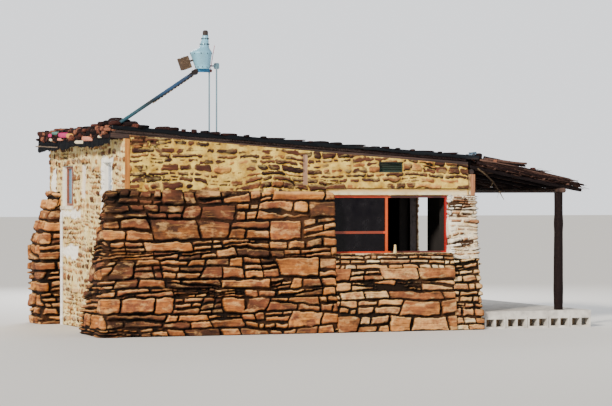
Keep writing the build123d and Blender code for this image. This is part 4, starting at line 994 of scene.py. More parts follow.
def sticks(starts, ends, thick_start, thick_end, seed, crook, sides, stations, knots):
    """Many crooked sticks at once. Each is a ring carried from start to end; the line strays
    sideways by a random sum of two sines, and the ring swells and dents with noise. Gives
    points, side quads and end caps, and each stick's random number."""
    draw = np.random.default_rng(seed)
    starts, ends = np.asarray(starts, float), np.asarray(ends, float)
    count = len(starts)
    axis = ends - starts
    length = np.linalg.norm(axis, axis=1, keepdims=True)
    axis = axis / length
    helper = np.where(np.abs(axis[:, 2:]) > 0.8, [[1.0, 0, 0]], [[0, 0, 1.0]])
    side = np.cross(axis, helper)
    side = side / np.linalg.norm(side, axis=1, keepdims=True)
    over = np.cross(side, axis)
    share = np.linspace(0, 1, stations)
    waves = np.pi * share[None, :, None] * np.array([1.0, 2.0])[None, None, :]
    swing = draw.normal(0, crook, (2, count, 1, 2)) * [1.0, 0.5]
    stray = (swing * np.sin(waves)[None]).sum(axis=3) * length[None]
    line = (starts[:, None] + (ends - starts)[:, None] * share[None, :, None]
            + side[:, None] * stray[0][..., None] + over[:, None] * stray[1][..., None])
    radius = (np.asarray(thick_start, float).reshape(-1, 1) * (1 - share)
              + np.asarray(thick_end, float).reshape(-1, 1) * share) / 2
    angle = 2 * np.pi * np.arange(sides) / sides
    ring = (np.cos(angle)[:, None, None, None] * side[None, :, None]
            + np.sin(angle)[:, None, None, None] * over[None, :, None])
    ring = np.moveaxis(np.broadcast_to(ring, (sides, count, stations, 3)), 0, 2)
    swell = 1 + knots * rough(line[:, :, None] + 0.03 * ring, (0.16, 0.16, 0.16), seed + 1)
    points = line[:, :, None] + ring * (radius[..., None] * swell)[..., None]
    order = np.arange(count * stations * sides).reshape(count, stations, sides)
    after = np.roll(order, -1, axis=2)
    quads = np.stack([order[:, :-1], after[:, :-1], after[:, 1:], order[:, 1:]], axis=-1)
    caps = np.concatenate([order[:, 0, ::-1], order[:, -1]])
    lot = np.broadcast_to(draw.random(count)[:, None, None], order.shape)
    return points.reshape(-1, 3), [quads.reshape(-1, 4), caps], lot.ravel()


def lay_sticks(name, node, slot, material, *built):
    """Piece of sticks, built as the others say, that stands in for a CAD node."""
    points, faces, lot = sticks(*built)
    make_piece(name, points, faces, material, slot, node, tone=lot)


def bark_finish(name, colours, streak=0.5, stops=(0.10, 0.40, 0.65, 0.90)):
    """Bark, bare wood or dark stone: a colour for each stick or stone by its tone, and streaks."""
    material, tree, shader, place = new_material(name)
    out = weathered(tree)
    grain = noise(tree, place, 40.0, 5.0, 0.7)
    tone = maths(tree, "ADD", value_of(tree, "tone"),
                 remap(tree, grain, 0.3, 0.7, -0.5 * streak, 0.5 * streak))
    colour = colour_ramp(tree, tone, list(zip(stops, colours)))
    finish_shader(tree, shader, colour, remap(tree, out["Grit"], 0.3, 0.7, 0.75, 0.95),
                  out["Height"], 0.006, 0.8)
    shader.inputs["Specular IOR Level"].default_value = 0.12
    return material


def on_slope(x, z, pitch, along, y, rise):
    """Points along a slope that falls to the right from x and z, at y, and a rise above it."""
    cos, sin = math.cos(pitch), math.sin(pitch)
    return np.stack(np.broadcast_arrays(x + along * cos + rise * sin, y,
                                        z - along * sin + rise * cos), axis=-1)


def on_roof(along, y, rise):
    """Points down the roof from the left wall's top, at y, and a rise above the walls."""
    return on_slope(left, wall_height, roof_pitch, along, y, rise)


# Weathered poles that close the eaves: three lengths along each side, lapped, bare and grey.
eave_rise, eave_y = 0.109, np.repeat([-2.240, 2.240], 3)
lay_sticks("eave_poles_weathered", "eave_poles", "grey_timber",
           bark_finish("grey_pole", ((0.030, 0.018, 0.018), (0.085, 0.052, 0.046),
                                     (0.210, 0.150, 0.130), (0.060, 0.036, 0.032))),
           on_roof(np.tile([-0.235, 1.80, 4.00], 2), eave_y, eave_rise),
           on_roof(np.tile([1.85, 4.05, 5.97], 2), eave_y, eave_rise),
           [0.066, 0.060, 0.064] * 2, [0.058, 0.066, 0.056] * 2, 5, 0.0016, 16, 60, 0.10)


# Stones that hold the sheets down at the left edge, and other odd lumps laid with them.
def rocks(places, seed, rings=9, sides=14):
    """Many rocks at once, each at a centre and of a size: a ball squared off by a power of its
    direction, dented by noise. Gives points, faces and each rock's random number."""
    draw = np.random.default_rng(seed)
    centres, sizes = (np.asarray(part, float) for part in zip(*places))
    count = len(centres)
    polar = np.pi * np.arange(1, rings) / rings
    angle = 2 * np.pi * np.arange(sides) / sides
    ring = np.stack([np.outer(np.sin(polar), np.cos(angle)), np.outer(np.sin(polar), np.sin(angle)),
                     np.broadcast_to(np.cos(polar)[:, None], (rings - 1, sides))], axis=-1)
    ball = np.concatenate([[[0, 0, 1.0]], ring.reshape(-1, 3), [[0, 0, -1.0]]])
    squared = 5
    block = ball / np.power((np.abs(ball) ** squared).sum(axis=1, keepdims=True), 1 / squared)
    turn = draw.uniform(0, 2 * np.pi, count)
    cos, sin = np.cos(turn)[:, None], np.sin(turn)[:, None]
    shaped = block[None] * sizes[:, None] / 2
    dent = 1 + 0.16 * rough(block[None] * 0.8 + np.arange(count)[:, None, None] * 7.3,
                            (0.7, 0.7, 0.7), seed + 1)
    dent = dent + 0.05 * rough(block[None] + np.arange(count)[:, None, None] * 3.1,
                               (0.25, 0.25, 0.25), seed + 2)
    shaped = shaped * dent[..., None]
    turned = np.stack([shaped[..., 0] * cos - shaped[..., 1] * sin,
                       shaped[..., 0] * sin + shaped[..., 1] * cos, shaped[..., 2]], axis=-1)
    points = turned + centres[:, None]
    size = len(ball)
    first = np.arange(rings - 2)[:, None] * sides + np.arange(sides)[None] + 1
    after = np.arange(rings - 2)[:, None] * sides + (np.arange(sides)[None] + 1) % sides + 1
    quads = np.stack([first, first + sides, after + sides, after], axis=-1).reshape(-1, 4)
    top = np.stack([np.zeros(sides, int), first[0], after[0]], axis=1)
    low = np.stack([np.full(sides, size - 1), after[-1] + sides, first[-1] + sides], axis=1)
    shift = (np.arange(count) * size)[:, None, None]
    faces = [(part[None] + shift).reshape(-1, part.shape[1])
             for part in (quads, np.concatenate([top, low]))]
    lot = np.repeat(draw.random(count), size)
    return points.reshape(-1, 3), faces, lot


rock_finish = bark_finish("roof_rocks", (
    (0.006, 0.004, 0.005), (0.020, 0.009, 0.009), (0.080, 0.024, 0.018), (0.300, 0.120, 0.070),
    (0.018, 0.010, 0.010)), 0.3, (0.05, 0.40, 0.66, 0.80, 0.90))
crest, half_wave, sheet_step = 0.187, 0.0381, 17
stone_long, stone_wide, stone_tall = 0.235, 0.175, 0.215
stone_places = []
for number in range(7):
    middle = -61 * half_wave + (number * sheet_step + 10) * half_wave
    for side in (-1, 1) if number else (1,):
        stone_places.append((0.010 + 0.105 * (1 + side) + 0.030 * (number % 3),
                             middle + side * 0.125,
                             stone_tall * (0.45 + 0.1 * ((number + side) % 3))))
heap_draw = np.random.default_rng(57)
heap_share = heap_draw.uniform(0.75, 1.15, (len(stone_places), 3))
heap = []
for (u, y, tall), share in zip(stone_places, heap_share):
    tall = tall * share[2] * (1.0 if y < -0.9 else 0.6)
    heap.append(((u, y, crest + 0.44 * tall), (stone_long * share[0], stone_wide * share[1], tall)))
# Smaller ones wedged between them, and more piled up near the front
for u, y in zip(heap_draw.uniform(-0.14, 0.34, 46), heap_draw.uniform(-2.22, 2.24, 46)):
    long, tall = heap_draw.uniform(0.07, 0.19), heap_draw.uniform(0.030, 0.085)
    heap.append(((u, y, crest + 0.42 * tall), (long, 0.7 * long, tall)))
for u, y, base in ((-0.12, -1.90, 0.065), (-0.05, -1.66, 0.075), (0.04, -1.98, 0.095),
                   (-0.14, -1.42, 0.055), (0.06, -1.52, 0.060), (-0.16, -1.15, 0.030),
                   (-0.02, -1.76, 0.120), (0.12, -2.18, 0.050), (-0.14, -2.16, 0.050)):
    long = heap_draw.uniform(0.12, 0.22)
    heap.append(((u, y, crest + base), (long, 1.2 * long, 0.075)))
# Others along the left edge on the flashing, and a low dark line along the front edge
for y in np.arange(-2.24, 2.26, 0.105):
    for rise in (heap_draw.uniform(0.02, 0.09), heap_draw.uniform(0.10, 0.175)):
        long, tall = heap_draw.uniform(0.07, 0.20), heap_draw.uniform(0.045, 0.095)
        heap.append(((-0.236 + heap_draw.uniform(-0.012, 0.012), y + heap_draw.uniform(-0.04, 0.04),
                      rise), (0.080, long, tall)))
edge_run = 0.16
while edge_run < 5.8:
    long = heap_draw.uniform(0.12, 0.42)
    tall = heap_draw.uniform(0.035, 0.075) * (1.0 if edge_run < 1.6 else 0.60)
    heap.append(((edge_run, -2.285 + heap_draw.uniform(-0.01, 0.02), crest + 0.30 * tall),
                 (long, 0.075, tall)))
    edge_run += long * heap_draw.uniform(0.7, 1.1)
points, faces, lot = rocks([(on_roof(*place), size) for place, size in heap], 91)
front_line = (points[:, 1] < -2.2) & (points[:, 0] > left + 0.3)
make_piece("roof_rocks", points, faces, rock_finish, "rubble", "roof_stones",
           tone=lot * np.where(front_line, 0.5, 1.0))

# Odd things thrown up among the stones: a pale slab, a lump of old red paint tin with a
# yellow lid, a cream one and a greenish one
for name, paint, places in (
    ("pale_slab", (0.66, 0.24, 0.15), (((-0.262, -1.19, 0.000), (0.07, 0.26, 0.075)),
                                       ((-0.262, 0.66, 0.030), (0.07, 0.20, 0.050)))),
    ("red_tin_lump", (0.52, 0.010, 0.150), (((-0.262, 0.24, 0.090), (0.09, 0.30, 0.085)),
                                            ((-0.258, 1.31, 0.110), (0.07, 0.20, 0.060)))),
    ("yellow_lid", (0.66, 0.30, 0.05), (((-0.282, -0.08, 0.070), (0.08, 0.16, 0.080)),)),
    ("cream_lump", (0.80, 0.72, 0.52), (((-0.262, -0.64, -0.045), (0.06, 0.20, 0.055)),
                                        ((-0.262, -1.85, 0.020), (0.06, 0.18, 0.045)),
                                        ((-0.262, 1.31, 0.035), (0.06, 0.16, 0.050)))),
    ("green_lump", (0.06, 0.24, 0.22), (((-0.262, 0.90, 0.140), (0.07, 0.20, 0.050)),)),
):
    points, faces, _ = rocks([(on_roof(*place), size) for place, size in places], 43)
    make_piece(name, points, faces,
               paint_finish(name, paint, (0.06, 0.025, 0.018), 0.60, 0.0, 0.7), "rubble")

# Old board stuck out along the left edge under the flashing, its end past the rear wall
board_rings = 40
board_run = np.linspace(0.95, 2.56, board_rings)
board_half = np.array([(-0.070, -0.011), (0.070, -0.011), (0.070, 0.011), (-0.070, 0.011)])
board_taper = np.interp(board_run, [0.95, 2.34, 2.56], [1.0, 1.0, 0.40])
board_ring = board_half[None] * board_taper[:, None, None]
board_line = on_roof(-0.20, board_run, -0.055 + 0.03 * (board_run - 2.3))[:, None]
board_points = np.stack([board_line[..., 0] + board_ring[..., 0],
                         np.broadcast_to(board_line[..., 1], (board_rings, 4)),
                         board_line[..., 2] + board_ring[..., 1]], axis=-1)
board_points = board_points + 0.004 * rough(board_points, (0.08, 0.3, 0.08), 62)[..., None]
board_order = np.arange(4 * board_rings).reshape(-1, 4)
board_after = np.roll(board_order, -1, axis=1)
board_sides = np.stack([board_order[:-1], board_order[1:], board_after[1:], board_after[:-1]],
                       axis=-1).reshape(-1, 4)
make_piece("loose_board", board_points,
           [board_sides, np.stack([board_order[0], board_order[-1, ::-1]])],
           timber_finish("board_wood", 1, (0.060, 0.040, 0.028), (0.160, 0.115, 0.080),
                         (0.300, 0.225, 0.160), (0.110, 0.080, 0.056)), "grey_timber")

# Verandah: knotty poles, set on the slab and tied to the house by the ledger, and brush laid
# over them: laths across, branches down the slope, twigs, and logs on top.
seat_gap, beam_half, rafter_half = 0.0003, 0.0425, 0.035
ledger_x, ledger_z = right - 0.06, ledger_seat + seat_gap + beam_half
outer_x = right + 1.61
outer_z = ledger_z - 0.31
verandah_pitch = math.atan2(ledger_z - outer_z, outer_x - ledger_x)


def on_verandah(along, y, rise):
    """Points down the verandah roof from the ledger, at y, and a rise above the ledger."""
    return on_slope(ledger_x, ledger_z, verandah_pitch, along, y, rise)


post_pole = bark_finish("post_pole", ((0.005, 0.003, 0.004), (0.012, 0.007, 0.007),
                                      (0.034, 0.018, 0.013), (0.010, 0.007, 0.006)))
post_x, post_y = outer_x - 0.018, 2.246
for name, node, y, seed in (("front_post", "verandah_post_front", -post_y, 7),
                            ("rear_post", "verandah_post_rear", post_y, 8)):
    lay_sticks(name, node, "dark_timber", post_pole, [(post_x, y, floor_level)],
               [(post_x, y, outer_z - 0.040)], [0.160], [0.150], seed, 0.002, 22, 70, 0.06)
rafter_lift = beam_half + seat_gap + rafter_half
rafters, rafter_reach = 8, 2.255
rafter_y = -rafter_reach + np.arange(rafters) * (2 * rafter_reach / (rafters - 1))
lay_sticks("verandah_rafter_poles", "verandah_rafters", "dark_timber", post_pole,
           on_verandah(-0.035, rafter_y, rafter_lift), on_verandah(2.098, rafter_y, rafter_lift),
           np.full(rafters, 0.072), np.full(rafters, 0.056), 15, 0.003, 14, 40, 0.16)

brush_draw = np.random.default_rng(29)
brush_low = rafter_lift + rafter_half
brush_start, brush_end = 0.0603, 2.1483
lath_count, lath_reach = 9, 2.35
lath_along = np.linspace(brush_start + 0.11, brush_end - 0.11, lath_count)
laths = (on_verandah(lath_along, -lath_reach, brush_low + 0.014),
         on_verandah(lath_along, lath_reach, brush_low + 0.014),
         brush_draw.uniform(0.026, 0.032, lath_count),
         brush_draw.uniform(0.022, 0.028, lath_count), 33, 0.0012, 7, 30, 0.15)
main_count, main_reach = 46, 2.324
main = np.arange(main_count)
main_size = np.array([0.052, 0.038, 0.046])[main % 3]
main_from = brush_start + np.array([0.0, 0.150, 0.060, 0.260])[main % 4]
main_to = brush_end - np.array([0.04, 0.130, 0.075, 0.190])[main % 4]
main_y = -main_reach + main * (2 * main_reach / (main_count - 1))
main_rise = brush_low + 0.0283 + main_size / 2
main_sticks = (on_verandah(main_from, main_y, main_rise),
               on_verandah(main_to, main_y + brush_draw.normal(0, 0.03, main_count), main_rise),
               main_size * 1.05, main_size * 0.62, 34, 0.006, 9, 24, 0.25)
branches = 620
branch_y = brush_draw.uniform(-2.36, 2.36, branches)
branch_from = brush_draw.uniform(0.06, 1.2, branches)
branch_to = np.minimum(branch_from + brush_draw.uniform(0.8, 2.0, branches),
                       2.06 + brush_draw.uniform(-0.12, 0.07, branches))
branch_pile = 0.045 + 0.085 * np.sin(np.pi * np.clip((branch_from + branch_to) / 4.2, 0, 1)) ** 2
branch_rise = brush_low + 0.030 + branch_pile * brush_draw.uniform(0.0, 1.0, branches)
branch_sticks = (
    on_verandah(branch_from, branch_y, branch_rise),
    on_verandah(branch_to, branch_y + brush_draw.normal(0, 0.07, branches),
                branch_rise + brush_draw.uniform(-0.012, 0.012, branches)),
    brush_draw.uniform(0.014, 0.036, branches), brush_draw.uniform(0.008, 0.018, branches), 35,
    0.010, 6, 9, 0.25)
twigs = 2900
twig_along = brush_draw.uniform(0.06, 2.04, twigs)
twig_y = brush_draw.uniform(-2.38, 2.38, twigs)
twig_pile = 0.060 + 0.100 * np.sin(np.pi * np.clip(twig_along / 2.1, 0, 1)) ** 2
twig_rise = brush_low - 0.010 + twig_pile * brush_draw.uniform(0.0, 1.0, twigs)
twig_turn = brush_draw.normal(0, 0.6, twigs)
twig_long = brush_draw.uniform(0.10, 0.42, twigs)
twig_sticks = (
    on_verandah(twig_along, twig_y, twig_rise),
    on_verandah(np.minimum(twig_along + twig_long * np.cos(twig_turn), 2.17),
                np.clip(twig_y + twig_long * np.sin(twig_turn), -2.42, 2.42),
                twig_rise + brush_draw.normal(0, 0.022, twigs)),
    brush_draw.uniform(0.004, 0.010, twigs), brush_draw.uniform(0.002, 0.005, twigs), 37,
    0.04, 4, 5, 0.2)
# Thick logs and bundles thrown on top, most in the middle of the slope
logs = 44
log_y = brush_draw.uniform(-2.34, 2.34, logs)
log_from = brush_draw.uniform(0.16, 0.75, logs)
log_to = np.minimum(log_from + brush_draw.uniform(0.55, 1.00, logs), 1.50)
log_lift = brush_low + 0.030 + brush_draw.uniform(0.05, 0.215, logs)
log_sticks = (
    on_verandah(log_from, log_y, log_lift - brush_draw.uniform(0.0, 0.06, logs)),
    on_verandah(log_to, log_y + brush_draw.normal(0, 0.10, logs),
                log_lift + brush_draw.uniform(-0.03, 0.02, logs)),
    brush_draw.uniform(0.040, 0.085, logs), brush_draw.uniform(0.030, 0.060, logs), 39,
    0.030, 9, 14, 0.30)
brush_finish = bark_finish("brush", (
    (0.006, 0.003, 0.004), (0.016, 0.008, 0.008), (0.040, 0.018, 0.015), (0.110, 0.060, 0.046)),
    stops=(0.05, 0.30, 0.60, 0.92))
for name, built in (("brush_laths", laths), ("brush_main_branches", main_sticks),
                    ("brush_branches", branch_sticks), ("brush_logs", log_sticks),
                    ("brush_twigs", twig_sticks)):
    lay_sticks(name, "verandah_brush", "brush", brush_finish, *built)

# Broken branch that hangs down beside the first rafter: bare wood with a few stubs.
branch_low, branch_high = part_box("hanging_branch")
branch_y = (branch_low.y + branch_high.y) / 2
branch_knees = np.array([(right + 0.05 + reach, branch_y, branch_high.z - 0.013 - drop)
                         for reach, drop in ((0.0, 0.0), (0.15, 0.105), (0.29, 0.225),
                                             (0.40, 0.380), (0.49, 0.525))])
stub_from = np.array([branch_knees[1], branch_knees[2], branch_knees[3], branch_knees[3]])
stub_to = stub_from + np.array([(0.10, -0.02, 0.03), (-0.07, -0.03, -0.10), (0.09, 0.0, -0.02),
                                (-0.05, -0.03, -0.12)])
lay_sticks("hanging_branch_bare", "hanging_branch", "grey_timber",
           bark_finish("pale_branch", ((0.018, 0.011, 0.007), (0.050, 0.033, 0.020),
                                       (0.130, 0.090, 0.054), (0.034, 0.022, 0.013))),
           np.concatenate([branch_knees[:-1], stub_from]),
           np.concatenate([branch_knees[1:], stub_to]),
           [0.028, 0.026, 0.024, 0.021, 0.010, 0.009, 0.008, 0.007],
           [0.027, 0.025, 0.021, 0.009, 0.004, 0.003, 0.003, 0.002], 41, 0.012, 9, 9, 0.15)

# Stones that weigh the brush down near the wall and along the front.
lump_places = [(0.10, -2.20, 0.13), (0.17, -2.02, 0.10), (0.13, -1.75, 0.12), (0.42, -2.24, 0.07),
               (1.15, -2.22, 0.075), (0.12, -0.90, 0.13), (0.20, 0.35, 0.12), (0.14, 1.50, 0.14),
               (1.50, -0.60, 0.10), (1.30, 1.20, 0.11), (0.85, 0.20, 0.10), (0.15, 2.15, 0.13)]
lump_lift = 0.1131 + 0.115
lumps = [(on_verandah(along, y, lump_lift + 0.40 * size), (size * 1.3, size, size * 0.85))
         for along, y, size in lump_places]
points, faces, lot = rocks(lumps, 95)
make_piece("brush_weights", points, faces, rock_finish, "rubble", tone=lot)


def bend_sheet(name, node, outer, thick, material):
    """Sheet metal over a grid of points, given a thickness by a second layer behind it."""
    outer = np.asarray(outer)
    make_piece(name, *two_faced(outer, outer - outward(outer) * thick), material, "sheet_iron",
               node)


# Turned-down edges of the roof sheets at the front and rear: near-black, dented and uneven
# at the bottom. Each line of the profile gives how far out and up it runs, and its share of how
# far the edge hangs.
edge_iron = iron_finish("edge_iron", (0.007, 0.009, 0.012), (0.006, 0.005, 0.005),
                        (0.040, 0.022, 0.018), 0.02)
edge_profile = ((2.262, 0.193, 0.0), (2.300, 0.1935, 0.0), (2.331, 0.1925, 0.0),
                (2.3345, 0.186, 0.0), (2.3345, 0.190, 0.5), (2.336, 0.190, 1.0))
roof_run = np.linspace(-0.236, 6.175, 360)
for name, node, side in (("front_roof_edge", "front_edge_strip", -1),
                         ("rear_roof_edge", "rear_edge_strip", 1)):
    wander = np.stack(np.broadcast_arrays(roof_run, 3.0 * side, 0.0), axis=-1)
    hang = 0.066 + 0.014 * rough(wander, 0.5, 51) + 0.010 * rough(wander, 0.09, 52)
    dent = 0.005 * rough(wander, 0.3, 53)
    bends = [on_roof(roof_run, side * (out + dent * share), rise - hang * share)
             for out, rise, share in edge_profile]
    bend_sheet(name, node, bends[::side], 0.0012, edge_iron)

# Bent flashing over the left edge, near-black and buckled, its lower edge torn and hanging unevenly
left_run = np.linspace(rear, front, 240)
wander = np.stack(np.broadcast_arrays(5.0, left_run, 0.0), axis=-1)
hang = (0.318 + 0.006 * left_run + 0.028 * rough(wander, 0.42, 71)
        + 0.016 * rough(wander, 0.10, 72))
dent, buckle = 0.007 * rough(wander, 0.25, 73), 0.002 * rough(wander, 0.3, 74)
left_profile = ((-0.168, 0.1905, 0.0), (-0.205, 0.1915, 0.0), (-0.236, 0.1905, 0.0),
                (-0.2395, 0.185, 0.0), (-0.2395, 0.190, 0.5), (-0.238, 0.190, 1.0))
bends = [on_roof(out - np.abs(dent) * share, left_run, rise - hang * share + buckle)
         for out, rise, share in left_profile]
bend_sheet("left_roof_edge", "edge_flashing", bends[::-1], 0.0014,
           bark_finish("near_black_iron", ((0.003, 0.004, 0.007), (0.009, 0.012, 0.018),
                                       (0.040, 0.022, 0.020), (0.006, 0.007, 0.010)), 0.9,
                       (0.10, 0.45, 0.70, 0.90)))

# Dark stones packed between the top of the left wall and the sheets, and over the right end
packing_draw = np.random.default_rng(77)
packing, packing_y = [], front + 0.18
while packing_y < rear - 0.12:
    long = packing_draw.uniform(0.10, 0.24)
    packing_x = left + 0.02 + packing_draw.uniform(-0.02, 0.02)
    packing.append(((packing_x, packing_y, wall_height + 0.056), (0.15, long, 0.125)))
    packing_y += 0.86 * long
for packing_x in (right - 0.26, right - 0.16, right - 0.07):
    packing.append(((packing_x, front + 0.13, wall_top(packing_x) + 0.060), (0.12, 0.10, 0.125)))
points, faces, lot = rocks(packing, 79, 8, 12)
make_piece("packing_stones", points, faces, rock_finish, "rubble", tone=0.55 * lot)

# Torn end of a sheet curled up over the ledger: zinc, its blue-grey a painted reflection of the sky
curl_turn, curl_radius = np.linspace(0.0, 1.9, 18)[:, None], 0.045
curl_line = on_roof(6.172, np.linspace(-2.29, -1.98, 40), crest + 0.006)
curl = np.stack(np.broadcast_arrays(-0.10 + curl_radius * np.sin(curl_turn) * 1.5, 0.0,
                                    0.004 + curl_radius * (1 - np.cos(curl_turn))), axis=-1)
curl = curl + 0.006 * rough(curl_line[None] + curl, 0.16, 81)[..., None]
bend_sheet("curled_sheet_end", None, curl_line[None] + curl, 0.0012,
           paint_finish("curled_iron_sky_reflection", (0.050, 0.130, 0.210), (0.020, 0.014, 0.014), 0.55, 0.1,
                        0.7))

# Mast head: a sheet-metal hood with a rolled shoulder, seams and a collar, on the bracket.
hood_x, hood_low = left + 1.410, wall_height + 1.086 + 0.0503
hood_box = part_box("mast_hood")
mast_y = (hood_box[0].y + hood_box[1].y) / 2


def turned(profile, centre, sides=48):
    """Surface of rings: each row is a height, a radius and a sideways offset; closed ends."""
    profile = np.asarray(profile, float)
    angle = 2 * np.pi * np.arange(sides) / sides
    x = centre[0] + profile[:, 2:] + profile[:, 1:2] * np.cos(angle)[None]
    y = centre[1] + profile[:, 1:2] * np.sin(angle)[None]
    z = np.broadcast_to(centre[2] + profile[:, :1], x.shape)
    order = np.arange(x.size).reshape(-1, sides)
    return np.stack([x, y, z], axis=-1).reshape(-1, 3), ring_faces(order)


hood_rows = [(0.000, 0.108, -0.045), (0.003, 0.114, -0.045), (0.010, 0.117, -0.045),
             (0.016, 0.114, -0.046), (0.060, 0.129, -0.052), (0.120, 0.144, -0.059),
             (0.180, 0.159, -0.066), (0.225, 0.170, -0.071), (0.240, 0.176, -0.073),
             (0.252, 0.180, -0.074), (0.262, 0.181, -0.075), (0.272, 0.176, -0.073),
             (0.286, 0.160, -0.066), (0.310, 0.128, -0.048), (0.334, 0.096, -0.030),
             (0.350, 0.080, -0.021), (0.358, 0.075, -0.019), (0.362, 0.079, -0.018),
             (0.370, 0.079, -0.018), (0.374, 0.073, -0.017), (0.440, 0.062, -0.010),
             (0.444, 0.066, -0.009), (0.452, 0.066, -0.009), (0.456, 0.060, -0.008),
             (0.530, 0.049, -0.001), (0.545, 0.046, 0.0)]
zinc = paint_finish("hood_zinc", (0.26, 0.60, 0.80), (0.16, 0.24, 0.28), 0.64, 0.15, 0.40)
make_piece("mast_hood_turned", *turned(hood_rows, (hood_x, mast_y, hood_low)), zinc, "hood_zinc",
           "mast_hood")

# Screws round the shoulder, the neck and the foot of the hood, and the bracket's end bolt
screws_round = 10
screws = [((hood_x + aside + radius * math.cos(a), mast_y + radius * math.sin(a), hood_low + rise),
           (size, size, size))
          for radius, aside, rise, size in (
              (0.178, -0.073, 0.248, 0.016), (0.070, -0.014, 0.400, 0.022),
              (0.055, -0.004, 0.492, 0.022), (0.121, -0.048, 0.030, 0.014))
          for a in 2 * np.pi * np.arange(screws_round) / screws_round]
bolt = [((hood_x + 0.088, mast_y, hood_low - 0.026), (0.050, 0.074, 0.050))]
dark_steel = paint_finish("dark_steel", (0.020, 0.024, 0.030), (0.10, 0.05, 0.03), 0.60, 0.6)
rusty_steel = paint_finish("bolt_steel", (0.150, 0.030, 0.018), (0.060, 0.028, 0.018), 0.55, 0.2,
                           0.6)
for name, places, seed, rings, sides, steel in (
    ("mast_hood_screws", screws, 99, 6, 8, dark_steel),
    ("mast_bracket_bolt", bolt, 98, 10, 16, rusty_steel),
):
    points, faces, _ = rocks(places, seed, rings, sides)
    make_piece(name, points, faces, steel, "mast_steel")


def mast_steel(tree, place):
    """Blue paint, worn to black up towards the clamp and on it."""
    up = shade_by(tree, place, 2, wall_height + 0.45, wall_height + 1.06)
    return colour_ramp(tree, up, ((0.0, (0.010, 0.090, 0.130)), (0.25, (0.003, 0.020, 0.028)),
                                  (0.60, (0.006, 0.075, 0.190)), (0.92, (0.004, 0.040, 0.100)),
                                  (1.0, (0.004, 0.004, 0.005))))


cable_way, tape_width = (0.836, 0.0, 0.549), 0.066


def wound_cable(tree, place):
    """Turns of dark and pale tape round the cable: a sine along the pole."""
    along = add(tree, "ShaderNodeVectorMath", {0: place, 1: cable_way},
                operation="DOT_PRODUCT").outputs["Value"]
    angle = maths(tree, "MULTIPLY", along, 2 * math.pi / tape_width)
    turns = add(tree, "ShaderNodeMath", {0: angle}, operation="SINE").outputs[0]
    return mix_colour(tree, remap(tree, turns, -0.25, 0.05), (0.030, 0.008, 0.006),
                      (0.82, 0.62, 0.40))


for name, paint, rust, chips, metal, gloss, node in (
    ("mast_steel", mast_steel, (0.030, 0.022, 0.018), 0.66, 0.2, 0.4, "mast_pole"),
    ("bracket_steel", (0.020, 0.200, 0.400), (0.075, 0.040, 0.025), 0.62, 0.2, 0.4,
     "mast_bracket"),
    ("foot_steel", (0.060, 0.060, 0.065), (0.140, 0.060, 0.030), 0.50, 0.4, 0.5, "mast_feet"),
    ("cable_tape", wound_cable, (0.20, 0.10, 0.06), 0.70, 0.0, 0.6, "mast_conduit"),
    ("rod_steel", (0.140, 0.270, 0.340), (0.090, 0.060, 0.045), 0.62, 0.3, 0.45, "mast_rods"),
    ("box_steel", (0.060, 0.034, 0.016), (0.150, 0.095, 0.055), 0.56, 0.1, 0.6, "mast_box"),
    ("cap_rubber", (0.010, 0.010, 0.012), (0.050, 0.050, 0.050), 0.66, 0.0, 0.7, "mast_cap"),
    ("whip_paint", (0.420, 0.040, 0.070), (0.120, 0.050, 0.040), 0.62, 0.1, 0.5, "mast_whip"),
):
    dress(paint_finish(name, paint, rust, chips, metal, gloss), node)

# Waste pipe: white plastic, gone grey, with collars where it is joined and strapped.
pipe_finish = paint_finish("pipe_plastic", (0.80, 0.80, 0.78), (0.42, 0.40, 0.36), 0.60)
dress(pipe_finish, "waste_pipe")
pipe_x, pipe_y = left - 0.045, 1.420
collar_rows = [(-0.032, 0.0325, 0), (-0.030, 0.036, 0), (0.030, 0.036, 0), (0.032, 0.0325, 0)]
collar_points, collar_faces = [], []
for collar_z in (0.12, 1.02, 1.80):
    points, faces = turned(collar_rows, (pipe_x, pipe_y, collar_z), 24)
    collar_faces += [part + len(points) * len(collar_points) for part in faces]
    collar_points.append(points)
make_piece("pipe_collars", np.concatenate(collar_points), collar_faces, pipe_finish,
           "pipe_plastic")

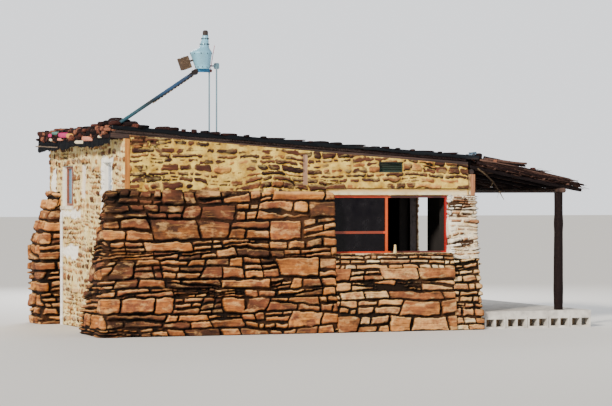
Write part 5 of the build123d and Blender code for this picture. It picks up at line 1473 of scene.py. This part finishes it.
# Pale studio floor, and soft light: a broad warm key from the left front, a cooler fill from
# the right, and a pale sky all round.
floor_mesh = bpy.data.meshes.new("studio_floor")
floor_mesh.from_pydata([(-200, -200, 0), (200, -200, 0), (200, 200, 0), (-200, 200, 0)], [],
                       [(0, 1, 2, 3)])
studio_floor = bpy.data.objects.new("studio_floor", floor_mesh)
bpy.context.scene.collection.objects.link(studio_floor)
floor_material, _, floor_shader, _ = new_material("studio_floor")
floor_shader.inputs["Base Color"].default_value = (0.74, 0.73, 0.71, 1.0)
floor_shader.inputs["Roughness"].default_value = 0.9
floor_mesh.materials.append(floor_material)

world = bpy.data.worlds.new("studio_sky")
world.use_nodes = True
sky_tree = world.node_tree
sky_seen = add(sky_tree, "ShaderNodeBackground", {"Color": (0.94, 0.96, 1.0, 1.0), "Strength": 1.5})
sky_lit = sky_tree.nodes["Background"]
sky_lit.inputs["Color"].default_value = (0.90, 0.94, 1.0, 1.0)
sky_lit.inputs["Strength"].default_value = 0.50
sky_ray = add(sky_tree, "ShaderNodeLightPath")
sky_mix = add(sky_tree, "ShaderNodeMixShader", {0: sky_ray.outputs["Is Camera Ray"],
                                                1: sky_lit.outputs[0], 2: sky_seen.outputs[0]})
sky_tree.links.new(sky_mix.outputs[0], sky_tree.nodes["World Output"].inputs["Surface"])
bpy.context.scene.world = world
for light_name, kind, place, aim, size, power, colour in (
    ("key", "SUN", (-12.5, -10.0, 9.0), (0.0, 0.0, 1.4), 0.14, 5.6, (1.0, 0.91, 0.78)),
    ("fill", "AREA", (11.0, -12.0, 6.0), (0.5, 0.0, 1.2), 7.0, 500.0, (0.92, 0.96, 1.0)),
    ("back", "AREA", (3.0, 13.0, 9.0), (0.0, 0.0, 1.5), 8.0, 2200.0, (0.97, 0.98, 1.0)),
):
    light_data = bpy.data.lights.new(light_name, kind)
    if kind == "SUN":
        light_data.angle = size
    else:
        light_data.size = size
    light_data.energy = power
    light_data.color = colour
    light = bpy.data.objects.new(light_name, light_data)
    light.location = place
    light.rotation_euler = (Vector(aim) - Vector(place)).to_track_quat("-Z", "Y").to_euler()
    bpy.context.scene.collection.objects.link(light)
